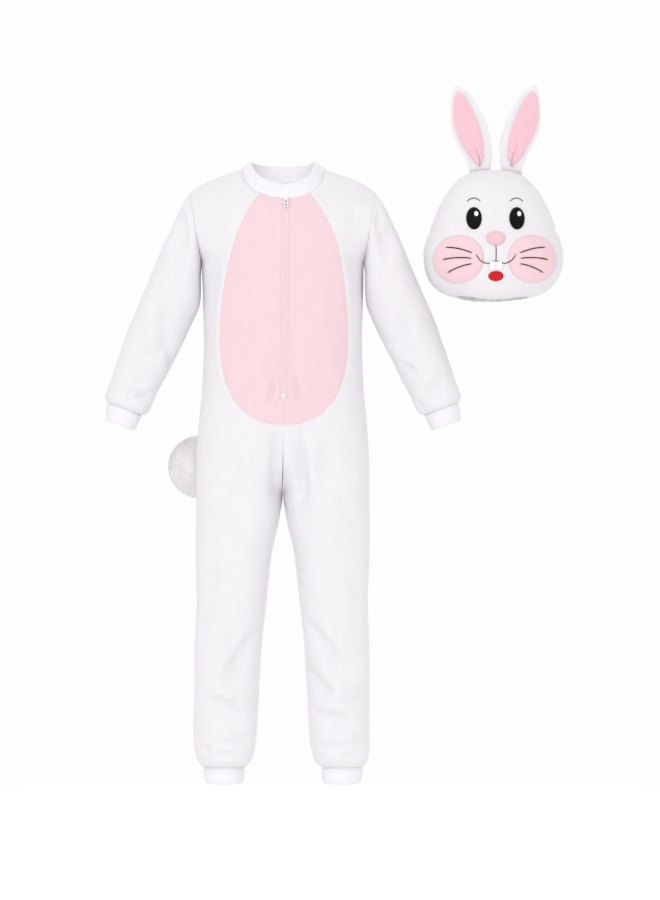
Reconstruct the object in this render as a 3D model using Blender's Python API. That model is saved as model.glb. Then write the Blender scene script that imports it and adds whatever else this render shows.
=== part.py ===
# Rabbit costume: a child's plush jumpsuit, filled out as worn, with its padded rabbit head beside it.
# Metres, +Z up, the front faces -Y. The origin is the middle of the neck seam, where the shoulders carry it.
# Left and right are those of someone who looks at the front: left is -X.
import math
from collections import namedtuple

import bmesh
import bpy
import numpy as np
from mathutils import Matrix, Vector

# Driving sizes
WALL = 0.0022           # plush fleece
RIB_WALL = 0.0026       # collar and cuffs
PADDED_WALL = 0.006     # wadded cloth of the head
GAP = 0.0003            # between pieces at a seam
FULLNESS = 2.3          # exponent of the rounded sections, 2 is an ellipse
LEFT, RIGHT = -1, 1
FRONT, BACK = -1, 1
CHEST_ROWS = 8
BODY_COLUMNS = 10

# Neck, shoulders and armholes
NECK_HALF_WIDTH = 0.070
NECK_DEPTH = {FRONT: 0.062, BACK: 0.052}
NECK_DROP = {FRONT: 0.049, BACK: 0.007}
NECK_SHARE = 0.5        # part of a panel's top edge that is neck, the rest is shoulder
SHOULDER_HALF_WIDTH = 0.158
SHOULDER_DROP = 0.039
UNDERARM_Z = -0.1615
ARMHOLE_DEPTH = {FRONT: 0.050, BACK: 0.056}
ARMHOLE_ROUNDNESS = 0.8

# Front closing
ZIP_SLOT = 0.0050
ZIP_THICK = 0.0016
ZIP_STOP_Z = -0.3876
ZIP_LEAN = 0.0060       # how far the zip's top stands to the right of the middle
BELLY_HALF_WIDTH = 0.109
BELLY_Z = -0.289        # height of its widest line
BELLY_RISE = 0.269
BELLY_DROP = 0.146
BELLY_CENTRE_X = 0.0025

# One row for each section of body and leg, from the underarm to the leg's hem.
# split is 0 on the body, where the two halves meet, and 1 where the legs are two tubes.
BodyRow = namedtuple("BodyRow", "z side front back inner split")
BODY = [
    BodyRow(-0.1615, 0.1370, 0.086, 0.082, 0.0000, 0.0),
    BodyRow(-0.2227, 0.1360, 0.090, 0.080, 0.0000, 0.0),
    BodyRow(-0.2890, 0.1340, 0.092, 0.078, 0.0000, 0.0),
    BodyRow(-0.3655, 0.1370, 0.093, 0.083, 0.0000, 0.0),
    BodyRow(-0.4420, 0.1437, 0.091, 0.092, 0.0004, 0.0),
    BodyRow(-0.5000, 0.1470, 0.087, 0.094, 0.0010, 0.20),
    BodyRow(-0.5340, 0.1475, 0.083, 0.090, 0.0015, 0.60),
    BodyRow(-0.5576, 0.1475, 0.080, 0.085, 0.0020, 1.0),
    BodyRow(-0.5950, 0.1472, 0.077, 0.080, 0.0065, 1.0),
    BodyRow(-0.6460, 0.1465, 0.072, 0.075, 0.0180, 1.0),
    BodyRow(-0.7310, 0.1455, 0.066, 0.068, 0.0280, 1.0),
    BodyRow(-0.8160, 0.1475, 0.061, 0.064, 0.0370, 1.0),
    BodyRow(-0.9010, 0.1475, 0.058, 0.061, 0.0415, 1.0),
    BodyRow(-0.9690, 0.1475, 0.056, 0.058, 0.0455, 1.0),
    BodyRow(-0.9950, 0.1460, 0.053, 0.054, 0.0510, 1.0),
    BodyRow(-1.0070, 0.1420, 0.046, 0.047, 0.0570, 1.0),
    BodyRow(-1.0132, 0.1355, 0.036, 0.037, 0.0645, 1.0),
]
CROTCH_Z = -0.5576
HEM_Z = BODY[-1].z
HEM_ROWS = (-0.990, -0.999, -1.007, -1.011, HEM_Z)

# One row for each section of a sleeve after the armhole, by its outer and inner edge seen from the front.
SleeveRow = namedtuple("SleeveRow", "outer_x outer_z inner_x inner_z depth")
SLEEVE = [
    SleeveRow(0.1710, -0.0600, 0.1400, -0.1800, 0.0540),
    SleeveRow(0.1835, -0.0860, 0.1400, -0.1970, 0.0530),
    SleeveRow(0.1990, -0.1190, 0.1400, -0.2130, 0.0515),
    SleeveRow(0.2165, -0.1600, 0.1415, -0.2285, 0.0500),
    SleeveRow(0.2360, -0.2080, 0.1475, -0.2460, 0.0480),
    SleeveRow(0.2535, -0.2475, 0.1630, -0.2810, 0.0465),
    SleeveRow(0.2660, -0.2795, 0.1790, -0.3130, 0.0445),
    SleeveRow(0.2790, -0.3160, 0.1970, -0.3480, 0.0420),
    SleeveRow(0.2905, -0.3510, 0.2140, -0.3810, 0.0395),
    SleeveRow(0.2985, -0.3740, 0.2240, -0.4020, 0.0385),
    SleeveRow(0.3020, -0.3860, 0.2300, -0.4125, 0.0365),
    SleeveRow(0.2985, -0.3945, 0.2380, -0.4170, 0.0305),
]
WRIST_CUFF = [
    SleeveRow(0.2975, -0.3955, 0.2405, -0.4175, 0.0290),
    SleeveRow(0.3005, -0.4110, 0.2465, -0.4300, 0.0280),
    SleeveRow(0.3020, -0.4255, 0.2520, -0.4425, 0.0265),
]
SLEEVE_COLUMNS = 16

# One row for each ring of an ankle cuff
CuffRow = namedtuple("CuffRow", "z centre half_width half_depth sag")
ANKLE_CUFF = [
    CuffRow(HEM_Z - GAP, 0.1000, 0.0345, 0.0350, 0.0),
    CuffRow(-1.0290, 0.1000, 0.0340, 0.0345, 0.0005),
    CuffRow(-1.0435, 0.0995, 0.0325, 0.0330, 0.0015),
]

# One row for each ring of the collar, as the neck seam's share of width, depth and drop, and its rise above the seam
CollarRow = namedtuple("CollarRow", "width front back rise_side rise_front rise_back")
COLLAR = [
    CollarRow(1.00, 0.062, 0.052, 0.0009, 0.0009, 0.0009),
    CollarRow(0.90, 0.059, 0.050, 0.0070, 0.0130, 0.0070),
    CollarRow(0.80, 0.054, 0.047, 0.0136, 0.0250, 0.0130),
]
COLLAR_COLUMNS = 20

# One row for each large fold: where it runs on the front or back, its width and its height, below 0 for a trough
Fold = namedtuple("Fold", "face x0 z0 x1 z1 width height")
FOLDS = [
    Fold(FRONT, -0.120, -0.060, -0.112, -0.122, 0.014, -0.0045),
    Fold(FRONT, 0.120, -0.060, 0.128, -0.112, 0.014, -0.0045),
    Fold(FRONT, -0.016, -0.430, -0.012, -0.560, 0.013, -0.0055),
    Fold(FRONT, 0.030, -0.430, 0.034, -0.590, 0.014, -0.0050),
    Fold(FRONT, 0.066, -0.440, 0.062, -0.510, 0.016, -0.0035),
    Fold(FRONT, -0.018, -0.350, -0.026, -0.400, 0.012, -0.0025),
    Fold(FRONT, 0.018, -0.345, 0.026, -0.400, 0.012, -0.0025),
    Fold(FRONT, -0.044, -0.780, -0.104, -0.884, 0.014, -0.0055),
    Fold(FRONT, -0.073, -0.770, -0.094, -0.815, 0.013, -0.0030),
    Fold(FRONT, -0.130, -0.900, -0.072, -0.932, 0.014, -0.0050),
    Fold(FRONT, 0.043, -0.765, 0.104, -0.855, 0.014, -0.0050),
    Fold(FRONT, 0.040, -0.842, 0.088, -0.900, 0.013, -0.0045),
    Fold(FRONT, 0.098, -0.900, 0.142, -0.884, 0.013, -0.0045),
    Fold(FRONT, 0.054, -0.920, 0.112, -0.932, 0.013, -0.0040),
    Fold(BACK, -0.040, -0.060, -0.060, -0.150, 0.018, -0.0035),
    Fold(BACK, 0.044, -0.070, 0.062, -0.140, 0.018, -0.0035),
    Fold(BACK, -0.110, -0.250, -0.050, -0.300, 0.018, -0.0040),
    Fold(BACK, 0.112, -0.262, 0.048, -0.320, 0.018, -0.0040),
    Fold(BACK, -0.030, -0.500, -0.100, -0.580, 0.016, -0.0055),
    Fold(BACK, 0.030, -0.500, 0.105, -0.590, 0.016, -0.0055),
    Fold(BACK, -0.060, -0.760, -0.130, -0.800, 0.016, -0.0050),
    Fold(BACK, 0.055, -0.780, 0.125, -0.820, 0.016, -0.0050),
    Fold(BACK, -0.120, -0.890, -0.062, -0.925, 0.015, -0.0050),
    Fold(BACK, 0.120, -0.900, 0.060, -0.940, 0.015, -0.0050),
]
# The same for the sleeves, written for the right one and mirrored
SLEEVE_FOLDS = [
    Fold(FRONT, 0.168, -0.080, 0.170, -0.150, 0.012, -0.0045),
    Fold(FRONT, 0.212, -0.240, 0.196, -0.300, 0.014, -0.0035),
    Fold(FRONT, 0.190, -0.300, 0.235, -0.318, 0.012, -0.0035),
    Fold(FRONT, 0.232, -0.385, 0.270, -0.378, 0.010, -0.0035),
    Fold(BACK, 0.170, -0.090, 0.180, -0.160, 0.014, -0.0040),
    Fold(BACK, 0.180, -0.290, 0.240, -0.300, 0.013, -0.0040),
    Fold(BACK, 0.222, -0.370, 0.275, -0.366, 0.011, -0.0035),
]

# Tail
TAIL_RADIUS = 0.0525
TAIL_X, TAIL_Z = -0.1445, -0.505

# Padded head: its own middle stands at HEAD_X, one row for each level from the crown to the neck hole
HEAD_X = 0.357
HeadRow = namedtuple("HeadRow", "z half_width front back")
HEAD = [
    HeadRow(0.0000, 0.0010, 0.001, 0.001),
    HeadRow(-0.0035, 0.0330, 0.026, 0.028),
    HeadRow(-0.0130, 0.0540, 0.046, 0.049),
    HeadRow(-0.0340, 0.0740, 0.068, 0.070),
    HeadRow(-0.0600, 0.0900, 0.084, 0.086),
    HeadRow(-0.0880, 0.1020, 0.094, 0.095),
    HeadRow(-0.1160, 0.1120, 0.100, 0.099),
    HeadRow(-0.1430, 0.1180, 0.104, 0.100),
    HeadRow(-0.1670, 0.1160, 0.103, 0.098),
    HeadRow(-0.1880, 0.1080, 0.097, 0.092),
    HeadRow(-0.2050, 0.0960, 0.087, 0.083),
    HeadRow(-0.2170, 0.0820, 0.076, 0.073),
    HeadRow(-0.2240, 0.0640, 0.064, 0.060),
]
HEAD_COLUMNS = 16
NECK_HOLE_LIFT = 0.007  # how much higher the hole's edge is at the sides

# One row for each section of an ear, from its seat on the crown to the tip
EarRow = namedtuple("EarRow", "z centre half_width thick")
EAR = [
    EarRow(0.0040, 0.0270, 0.0150, 0.014),
    EarRow(0.0170, 0.0290, 0.0215, 0.017),
    EarRow(0.0380, 0.0340, 0.0275, 0.018),
    EarRow(0.0560, 0.0395, 0.0310, 0.018),
    EarRow(0.0765, 0.0455, 0.0312, 0.017),
    EarRow(0.0985, 0.0510, 0.0268, 0.016),
    EarRow(0.1190, 0.0560, 0.0200, 0.014),
    EarRow(0.1340, 0.0605, 0.0130, 0.011),
    EarRow(0.1430, 0.0650, 0.0055, 0.007),
]
EAR_SHIFT = 0.0045      # both ears stand a little to the right of the head's middle
EAR_Y = 0.004
EAR_COLUMNS = 12
EAR_FLATNESS = 0.55     # front of the section against its back
EAR_SEAT = 0.0008       # clearance over the crown
LINING_INSET = 0.0060   # white edge left round the pink
LINING_THICK = 0.0020
LINING_STEPS = 8
LINING_LIFT = 0.0008
LINING_END = 0.72       # its two ends against the ear's width there

# Pads sewn on the face, by their middle and half sizes seen from the front
FacePad = namedtuple("FacePad", "name x z half_width half_height crown columns rings")
FACE_PADS = [
    FacePad("cheek_left", -0.0620, -0.1560, 0.0420, 0.0400, 0.0070, 20, 4),
    FacePad("cheek_right", 0.0620, -0.1560, 0.0420, 0.0400, 0.0070, 20, 4),
    FacePad("eye_left", -0.0360, -0.0880, 0.0130, 0.0190, 0.0040, 16, 3),
    FacePad("eye_right", 0.0360, -0.0880, 0.0130, 0.0190, 0.0040, 16, 3),
    FacePad("nose", 0.0000, -0.1220, 0.0160, 0.0115, 0.0080, 16, 3),
    FacePad("tongue", 0.0000, -0.1850, 0.0130, 0.0085, 0.0030, 14, 2),
]
PAD_LIFT = 0.0008       # over the face
PAD_EDGE = 0.0012       # thickness at the rim
TOOTH_SIZE = (0.0100, 0.0035, 0.0130)
TOOTH_Z = -0.1680

# Zip slider and pull, in millimetres turned to metres where used
MM = 0.001
SLIDER_Z = -0.0560
SLIDER_SIZE = (6.8 * MM, 9.5 * MM, 1.9 * MM)
BAIL_WIDTH = 1.5 * MM
BAIL_LENGTH = 6.4 * MM
BAIL_RISE = 2.5 * MM
BAIL_THICK = 0.7 * MM
PIN_RADIUS = 0.5 * MM
PIN_HEIGHT = 1.0 * MM   # pin's middle above the slider's top
PULL_WIDTH = 5.6 * MM
PULL_ARM = 1.3 * MM
PULL_ARM_LENGTH = 5.0 * MM
PULL_LENGTH = 15.5 * MM
PULL_HOLE = 1.1 * MM

COLOURS = {
    "white_plush": ((0.88, 0.88, 0.90), 0.95, 0.0),
    "pink_plush": ((0.90, 0.66, 0.71), 0.95, 0.0),
    "white_rib": ((0.88, 0.88, 0.91), 0.9, 0.0),
    "tail_plush": ((0.80, 0.79, 0.78), 1.0, 0.0),
    "zip_white": ((0.86, 0.85, 0.87), 0.4, 0.0),
    "black_satin": ((0.02, 0.02, 0.02), 0.5, 0.0),
    "red_plush": ((0.60, 0.04, 0.04), 0.9, 0.0),
}


def clear_scene():
    for item in list(bpy.data.objects):
        bpy.data.objects.remove(item, do_unlink=True)


def new_collection(name):
    collection = bpy.data.collections.new(name)
    bpy.context.scene.collection.children.link(collection)
    return collection


def material(name):
    found = bpy.data.materials.get(name)
    if found:
        return found
    colour, roughness, metallic = COLOURS[name]
    made = bpy.data.materials.new(name)
    made.use_nodes = True
    shader = made.node_tree.nodes["Principled BSDF"]
    shader.inputs["Base Color"].default_value = (*colour, 1.0)
    shader.inputs["Roughness"].default_value = roughness
    shader.inputs["Metallic"].default_value = metallic
    return made


def smooth(table, column, at):
    """A column's value at a height, on a smooth curve through the rows that never overshoots."""
    heights = np.array([-row.z for row in table])
    values = np.array([getattr(row, column) for row in table])
    secants = np.diff(values) / np.diff(heights)
    slopes = np.concatenate([secants[:1], np.zeros(len(secants) - 1), secants[-1:]])
    for i in range(1, len(secants)):
        before, after = secants[i - 1], secants[i]
        if before * after > 0.0:
            slopes[i] = 2.0 * before * after / (before + after)
    place = min(max(-at, heights[0]), heights[-1])
    i = min(int(np.searchsorted(heights, place, side="right")) - 1, len(secants) - 1)
    step = heights[i + 1] - heights[i]
    t = (place - heights[i]) / step
    return float(
        values[i] * (1 + 2 * t) * (1 - t) ** 2
        + slopes[i] * step * t * (1 - t) ** 2
        + values[i + 1] * t * t * (3 - 2 * t)
        + slopes[i + 1] * step * t * t * (t - 1)
    )


def blend(a, b, share):
    return a + (b - a) * share


def round_off(value):
    """Sine or cosine turned from an ellipse's to the fuller section's."""
    return abs(value) ** (2.0 / FULLNESS)


def lean_at(z):
    """The front line stands a little to the right at the neck and comes back to the middle at the crotch."""
    return ZIP_LEAN * min(max((z - CROTCH_Z) / (-NECK_DROP[FRONT] - CROTCH_Z), 0.0), 1.0)


def centre_gap(z, face):
    """Half the opening at the middle: the zip's slot above its stop, else a seam."""
    if face == BACK:
        return GAP / 2
    fade = min(max((z - ZIP_STOP_Z + 0.012) / 0.012, 0.0), 1.0)
    return blend(GAP / 2, ZIP_SLOT / 2 + GAP / 2, fade)


def lower_point(z, share, face):
    """A point below the underarm on the right side; share runs from the middle or inseam to the side seam."""
    side = smooth(BODY, "side", z)
    depth = smooth(BODY, "front" if face == FRONT else "back", z)
    inner = smooth(BODY, "inner", z)
    split = smooth(BODY, "split", z)
    middle = centre_gap(z, face)
    turn = share * math.pi / 2
    body_x = middle + (side - middle) * round_off(math.sin(turn))
    body_y = GAP / 2 + depth * round_off(math.cos(turn))
    swing = share * math.pi
    wave = math.cos(swing)
    leg_x = (side + inner) / 2 - math.copysign(round_off(wave), wave) * (side - inner) / 2
    leg_y = GAP / 2 + depth * round_off(math.sin(swing))
    return Vector((blend(body_x, leg_x, split), face * blend(body_y, leg_y, split), z))


def top_point(share, face):
    """A point on the panel's top edge: the neck seam, then the shoulder seam."""
    if share <= NECK_SHARE:
        turn = share / NECK_SHARE * math.pi / 2
        middle = centre_gap(0.0, face)
        return Vector((
            middle + (NECK_HALF_WIDTH - middle) * math.sin(turn),
            face * (GAP / 2 + NECK_DEPTH[face] * math.cos(turn)),
            -NECK_DROP[face] * math.cos(turn),
        ))
    along = (share - NECK_SHARE) / (1.0 - NECK_SHARE)
    return Vector((
        blend(NECK_HALF_WIDTH, SHOULDER_HALF_WIDTH, along),
        face * GAP / 2,
        -SHOULDER_DROP * along ** 1.15,
    ))


def armhole_x(z):
    """The armhole lies in one plane, from the shoulder's end in to the underarm."""
    share = (z - UNDERARM_Z) / (-SHOULDER_DROP - UNDERARM_Z)
    return blend(BODY[0].side, SHOULDER_HALF_WIDTH, share)


def armhole_y(rise, face):
    return GAP / 2 + ARMHOLE_DEPTH[face] * max(math.sin(math.pi * rise), 0.0) ** ARMHOLE_ROUNDNESS


def upper_point(height, share, face):
    """A point above the underarm; height runs from 0 there to 1 at the top edge."""
    top = top_point(share, face)
    turn = height * math.pi / 2
    rise, reach = math.sin(turn), math.cos(turn)
    depth = BODY[0].front if face == FRONT else BODY[0].back
    edge = min(armhole_y(rise, face) / max(reach, 0.05) / depth, 0.9)
    widest = math.acos(edge) if rise < 0.999 else math.pi / 2
    middle = centre_gap(0.0, face)
    if height == 0.0:
        chest = lower_point(UNDERARM_Z, share, face)
        chest_x, chest_y = chest.x, abs(chest.y)
    else:
        angle = share * widest
        open_share = min(height * 4.0, 1.0)
        power = blend(2.0 / FULLNESS, 1.0, open_share)
        across = math.sin(angle) / math.sin(widest)
        chest_x = middle + (armhole_x(UNDERARM_Z) - middle) * across ** power
        chest_y = depth * math.cos(angle) ** power
    return Vector((
        blend(chest_x, top.x, rise),
        face * blend(abs(top.y), chest_y, reach),
        blend(UNDERARM_Z, top.z, rise),
    ))


def fold_height(folds, face, x, z):
    """How far the cloth stands out or in at a point, from the folds near it."""
    total = 0.0
    for fold in folds:
        if fold.face != face:
            continue
        run_x, run_z = fold.x1 - fold.x0, fold.z1 - fold.z0
        length = math.hypot(run_x, run_z)
        along = ((x - fold.x0) * run_x + (z - fold.z0) * run_z) / length ** 2
        held = min(max(along, 0.0), 1.0)
        away = math.hypot(x - fold.x0 - held * run_x, z - fold.z0 - held * run_z)
        ends = math.sin(math.pi * min(max(0.15 + 0.7 * along, 0.0), 1.0))
        total += fold.height * ends * math.exp(-((away / fold.width) ** 2))
    return total


def grid_normals(grid, wraps):
    """Outward directions of a grid of points, rows by columns; wraps says that the columns close a tube."""
    if wraps:
        across = np.roll(grid, -1, axis=1) - np.roll(grid, 1, axis=1)
    else:
        across = np.gradient(grid, axis=1)
    along = np.gradient(grid, axis=0)
    normals = np.cross(across, along)
    lengths = np.linalg.norm(normals, axis=2, keepdims=True)
    normals = normals / np.maximum(lengths, 1e-12)
    middle = grid.mean(axis=1, keepdims=True) if wraps else np.array([0.0, 0.0, 0.0])
    outward = grid - middle
    outward[:, :, 2] = 0.0
    if np.sum(normals * outward) < 0.0:
        normals = -normals
    return normals


def unit(vector):
    return vector / max(float(np.linalg.norm(vector)), 1e-12)


def make_object(name, collection, material_name, mesh_maker):
    mesh = bpy.data.meshes.new(name)
    build = bmesh.new()
    mesh_maker(build)
    bmesh.ops.remove_doubles(build, verts=build.verts, dist=1e-6)
    bmesh.ops.recalc_face_normals(build, faces=build.faces)
    build.to_mesh(mesh)
    build.free()
    mesh.materials.append(material(material_name))
    mesh.shade_smooth()
    made = bpy.data.objects.new(name, mesh)
    collection.objects.link(made)
    return made


def wall_between(outer, inner, wraps):
    """Closes two grids of points into one wall with rims."""
    rows, columns = outer.shape[:2]

    def fill(build):
        faces = {}
        for key, grid in (("outer", outer), ("inner", inner)):
            faces[key] = [[build.verts.new(grid[r, c]) for c in range(columns)] for r in range(rows)]
        last = columns if wraps else columns - 1
        for r in range(rows - 1):
            for c in range(last):
                n = (c + 1) % columns
                for verts in faces.values():
                    build.faces.new((verts[r][c], verts[r][n], verts[r + 1][n], verts[r + 1][c]))
        a, b = faces["outer"], faces["inner"]
        for r in (0, rows - 1):
            for c in range(last):
                n = (c + 1) % columns
                build.faces.new((a[r][c], a[r][n], b[r][n], b[r][c]))
        if not wraps:
            for c in (0, columns - 1):
                for r in range(rows - 1):
                    build.faces.new((a[r][c], a[r + 1][c], b[r + 1][c], b[r][c]))

    return fill


def body_heights():
    body = np.linspace(UNDERARM_Z, CROTCH_Z, 15)[1:]
    leg = np.linspace(CROTCH_Z, HEM_ROWS[0], 15)[1:-1]
    return [*body, *leg, *HEM_ROWS]


def body_grid(side, face):
    """Outer points of a quarter of the jumpsuit and the direction of its wall at each."""
    rows = []
    for step in range(CHEST_ROWS, -1, -1):
        height = step / CHEST_ROWS
        rows.append([upper_point(height, c / BODY_COLUMNS, face) for c in range(BODY_COLUMNS + 1)])
    for z in body_heights():
        rows.append([lower_point(z, c / BODY_COLUMNS, face) for c in range(BODY_COLUMNS + 1)])
    grid = np.array(rows, dtype=float)
    normals = body_normals(grid, face)
    for r in range(grid.shape[0]):
        for c in range(grid.shape[1]):
            share = c / BODY_COLUMNS
            x, z = side * grid[r, c, 0], grid[r, c, 2]
            split = smooth(BODY, "split", z)
            fade = min(max((1.0 - share) * 6.0, 0.0), 1.0)
            if split > 0.0:
                fade *= blend(1.0, min(share * 6.0, 1.0), split)
            if r <= CHEST_ROWS:
                fade *= min(r / 2.0, 1.0)
            lift = fold_height(FOLDS, face, x, z) * fade
            if r == grid.shape[0] - 1:
                lift = 0.0
            grid[r, c] += normals[r, c] * lift
    normals = body_normals(grid, face)
    if face == FRONT:
        for r in range(grid.shape[0]):
            for c in range(grid.shape[1]):
                share = c / BODY_COLUMNS
                split = smooth(BODY, "split", grid[r, c, 2])
                near = math.cos(min(share / NECK_SHARE, 1.0) * math.pi / 2) ** 2 * (1.0 - split)
                grid[r, c, 0] += side * lean_at(grid[r, c, 2]) * near
    grid[:, :, 0] *= side
    normals[:, :, 0] *= side
    return grid, normals


def body_normals(grid, face):
    """Directions of the wall, turned along every seam so that two pieces meet face to face there."""
    normals = grid_normals(grid, False)
    if np.sum(normals[:, :, 1]) * face < 0.0:
        normals = -normals
    last = grid.shape[1] - 1
    neck_columns = int(BODY_COLUMNS * NECK_SHARE)
    tilt = (SHOULDER_HALF_WIDTH - BODY[0].side) / (-SHOULDER_DROP - UNDERARM_Z)
    for r in range(grid.shape[0]):
        z = grid[r, 0, 2]
        split = smooth(BODY, "split", z) if r > CHEST_ROWS else 0.0
        middle = normals[r, 0].copy()
        middle[0] = 0.0
        inseam = np.array([-1.0, 0.0, 0.0])
        normals[r, 0] = unit(unit(middle) * (1.0 - split) + inseam * split)
        side = normals[r, last].copy()
        side[1] = 0.0
        normals[r, last] = unit(side)
        if 0 < r < CHEST_ROWS:
            loop = grid[r - 1, last] - grid[r + 1, last]
            radial = np.array([0.0, -loop[2], loop[1]]) * -face
            radial = unit(radial)
            radial[0] = radial[2] * tilt
            share = min((CHEST_ROWS - r) / 2.0, 1.0)
            side = unit(np.array([1.0, 0.0, 0.0]))
            normals[r, last] = unit(side * (1.0 - share) + unit(radial) * share)
    for c in range(grid.shape[1]):
        if c <= neck_columns:
            turn = c / neck_columns * math.pi / 2
            out = np.array([math.sin(turn), face * math.cos(turn), 0.0])
            mix = unit(out * 0.6 + np.array([0.0, 0.0, 0.8]))
            if c == 0:
                mix[0] = 0.0
            if c == neck_columns:
                mix[1] = 0.0
            normals[0, c] = unit(mix)
        else:
            slope = SHOULDER_DROP / (SHOULDER_HALF_WIDTH - NECK_HALF_WIDTH)
            normals[0, c] = unit(np.array([slope, 0.0, 1.0]))
    normals[0, last] = unit(np.array([tilt, 0.0, 1.0]))
    normals[-1, :, 2] = 0.0
    for c in range(grid.shape[1]):
        normals[-1, c] = unit(normals[-1, c])
    return normals


def belly_cutter(name, collection, grow):
    """An egg-shaped bar through the front, a little larger or smaller than the belly's outline."""
    points = []
    steps = 44
    for i in range(steps):
        turn = 2 * math.pi * i / steps
        high = BELLY_RISE if math.cos(turn) > 0 else BELLY_DROP
        points.append((
            BELLY_CENTRE_X + (BELLY_HALF_WIDTH + grow) * math.sin(turn),
            BELLY_Z + (high + grow) * math.cos(turn),
        ))

    def fill(build):
        near = [build.verts.new((x, -0.16, z)) for x, z in points]
        far = [build.verts.new((x, -0.02, z)) for x, z in points]
        build.faces.new(near)
        build.faces.new(list(reversed(far)))
        for i in range(steps):
            n = (i + 1) % steps
            build.faces.new((near[i], far[i], far[n], near[n]))

    cutter = make_object(name, collection, "pink_plush", fill)
    cutter.hide_render = True
    cutter.display_type = "WIRE"
    return cutter


def cut(target, cutter, operation):
    modifier = target.modifiers.new(operation.lower(), "BOOLEAN")
    modifier.operation = operation
    modifier.object = cutter
    modifier.solver = "EXACT"


def make_body(parts, cutters):
    outside = belly_cutter("belly_outside", cutters, GAP / 2)
    inside = belly_cutter("belly_inside", cutters, -GAP / 2)
    for side, side_name in ((LEFT, "left"), (RIGHT, "right")):
        for face, face_name in ((FRONT, "front"), (BACK, "back")):
            outer, normals = body_grid(side, face)
            wall = wall_between(outer, outer - normals * WALL, False)
            panel = make_object(f"{face_name}_{side_name}", parts, "white_plush", wall)
            if face == FRONT:
                cut(panel, outside, "DIFFERENCE")
                belly = make_object(f"belly_{side_name}", parts, "pink_plush", wall)
                cut(belly, inside, "INTERSECT")


def tube_section(row, side, columns, power=1.0):
    """Points round a sleeve's section, from its inner edge over the front to the outer edge and back."""
    points = []
    for c in range(columns):
        turn = 2 * math.pi * c / columns
        share = (1.0 - math.cos(turn)) / 2
        points.append((
            side * blend(row.inner_x, row.outer_x, share),
            -row.depth * math.copysign(abs(math.sin(turn)) ** power, math.sin(turn)),
            blend(row.inner_z, row.outer_z, share),
        ))
    return points


def armhole_section(side):
    points = []
    for c in range(SLEEVE_COLUMNS):
        turn = 2 * math.pi * c / SLEEVE_COLUMNS
        rise = (1.0 - math.cos(turn)) / 2
        face = FRONT if c <= SLEEVE_COLUMNS / 2 else BACK
        z = blend(UNDERARM_Z, -SHOULDER_DROP, rise)
        depth = 0.0 if c in (0, SLEEVE_COLUMNS // 2) else armhole_y(rise, face)
        points.append((side * (armhole_x(z) + GAP), face * depth, z))
    return points


def section_normals(ring, normals, side, plane):
    """Turns the wall's directions at an end into the plane of that end."""
    flat = np.array([side * plane[0], 0.0, plane[1]])
    flat = unit(flat)
    return np.array([unit(n - flat * float(np.dot(n, flat))) for n in normals])


def make_sleeve(parts, side, side_name):
    rings = [armhole_section(side)]
    rings += [tube_section(row, side, SLEEVE_COLUMNS, 0.92) for row in SLEEVE]
    grid = np.array(rings, dtype=float)
    normals = grid_normals(grid, True)
    for r in range(1, grid.shape[0] - 1):
        for c in range(SLEEVE_COLUMNS):
            turn = 2 * math.pi * c / SLEEVE_COLUMNS
            face = FRONT if math.sin(turn) > 0 else BACK
            fade = min(abs(math.sin(turn)) * 1.8, 1.0)
            x, z = side * grid[r, c, 0], grid[r, c, 2]
            grid[r, c] += normals[r, c] * fold_height(SLEEVE_FOLDS, face, x, z) * fade
    normals = grid_normals(grid, True)
    tilt = (SHOULDER_HALF_WIDTH - BODY[0].side) / (-SHOULDER_DROP - UNDERARM_Z)
    normals[0] = section_normals(grid[0], normals[0], side, (1.0, -tilt))
    end = SLEEVE[-1]
    normals[-1] = section_normals(
        grid[-1], normals[-1], side, (end.outer_z - end.inner_z, end.inner_x - end.outer_x)
    )
    make_object(f"sleeve_{side_name}", parts, "white_plush", wall_between(grid, grid - normals * WALL, True))


def make_wrist_cuff(parts, side, side_name):
    rings = [tube_section(row, side, SLEEVE_COLUMNS) for row in WRIST_CUFF]
    grid = np.array(rings, dtype=float)
    normals = grid_normals(grid, True)
    for r, row in ((0, WRIST_CUFF[0]), (len(rings) - 1, WRIST_CUFF[-1])):
        plane = (row.outer_z - row.inner_z, row.inner_x - row.outer_x)
        normals[r] = section_normals(grid[r], normals[r], side, plane)
    wall = wall_between(grid, grid - normals * RIB_WALL, True)
    make_object(f"wrist_cuff_{side_name}", parts, "white_rib", wall)


def make_ankle_cuff(parts, side, side_name):
    rings = []
    for row in ANKLE_CUFF:
        ring = []
        for c in range(SLEEVE_COLUMNS):
            turn = 2 * math.pi * c / SLEEVE_COLUMNS
            ring.append((
                side * row.centre + row.half_width * math.cos(turn),
                row.half_depth * math.sin(turn),
                row.z - row.sag * math.sin(turn) ** 2,
            ))
        rings.append(ring)
    grid = np.array(rings, dtype=float)
    normals = grid_normals(grid, True)
    for r in (0, len(rings) - 1):
        normals[r, :, 2] = 0.0
    wall = wall_between(grid, grid - normals * RIB_WALL, True)
    make_object(f"ankle_cuff_{side_name}", parts, "white_rib", wall)


def collar_point(row, turn):
    """A point of the collar; turn runs from the front round the right side to the back."""
    forward = math.cos(turn)
    face = FRONT if forward > 0 else BACK
    depth = row.front if forward > 0 else row.back
    share = abs(forward)
    rise = blend(row.rise_side, row.rise_front if forward > 0 else row.rise_back, share)
    lean = lean_at(0.0) * max(forward, 0.0) ** 2
    middle = centre_gap(0.0, face)
    aside = math.sin(turn)
    return (
        math.copysign(blend(middle, NECK_HALF_WIDTH * row.width, abs(aside)), aside) + lean,
        face * depth * share,
        -NECK_DROP[face] * share + rise,
    )


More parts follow.
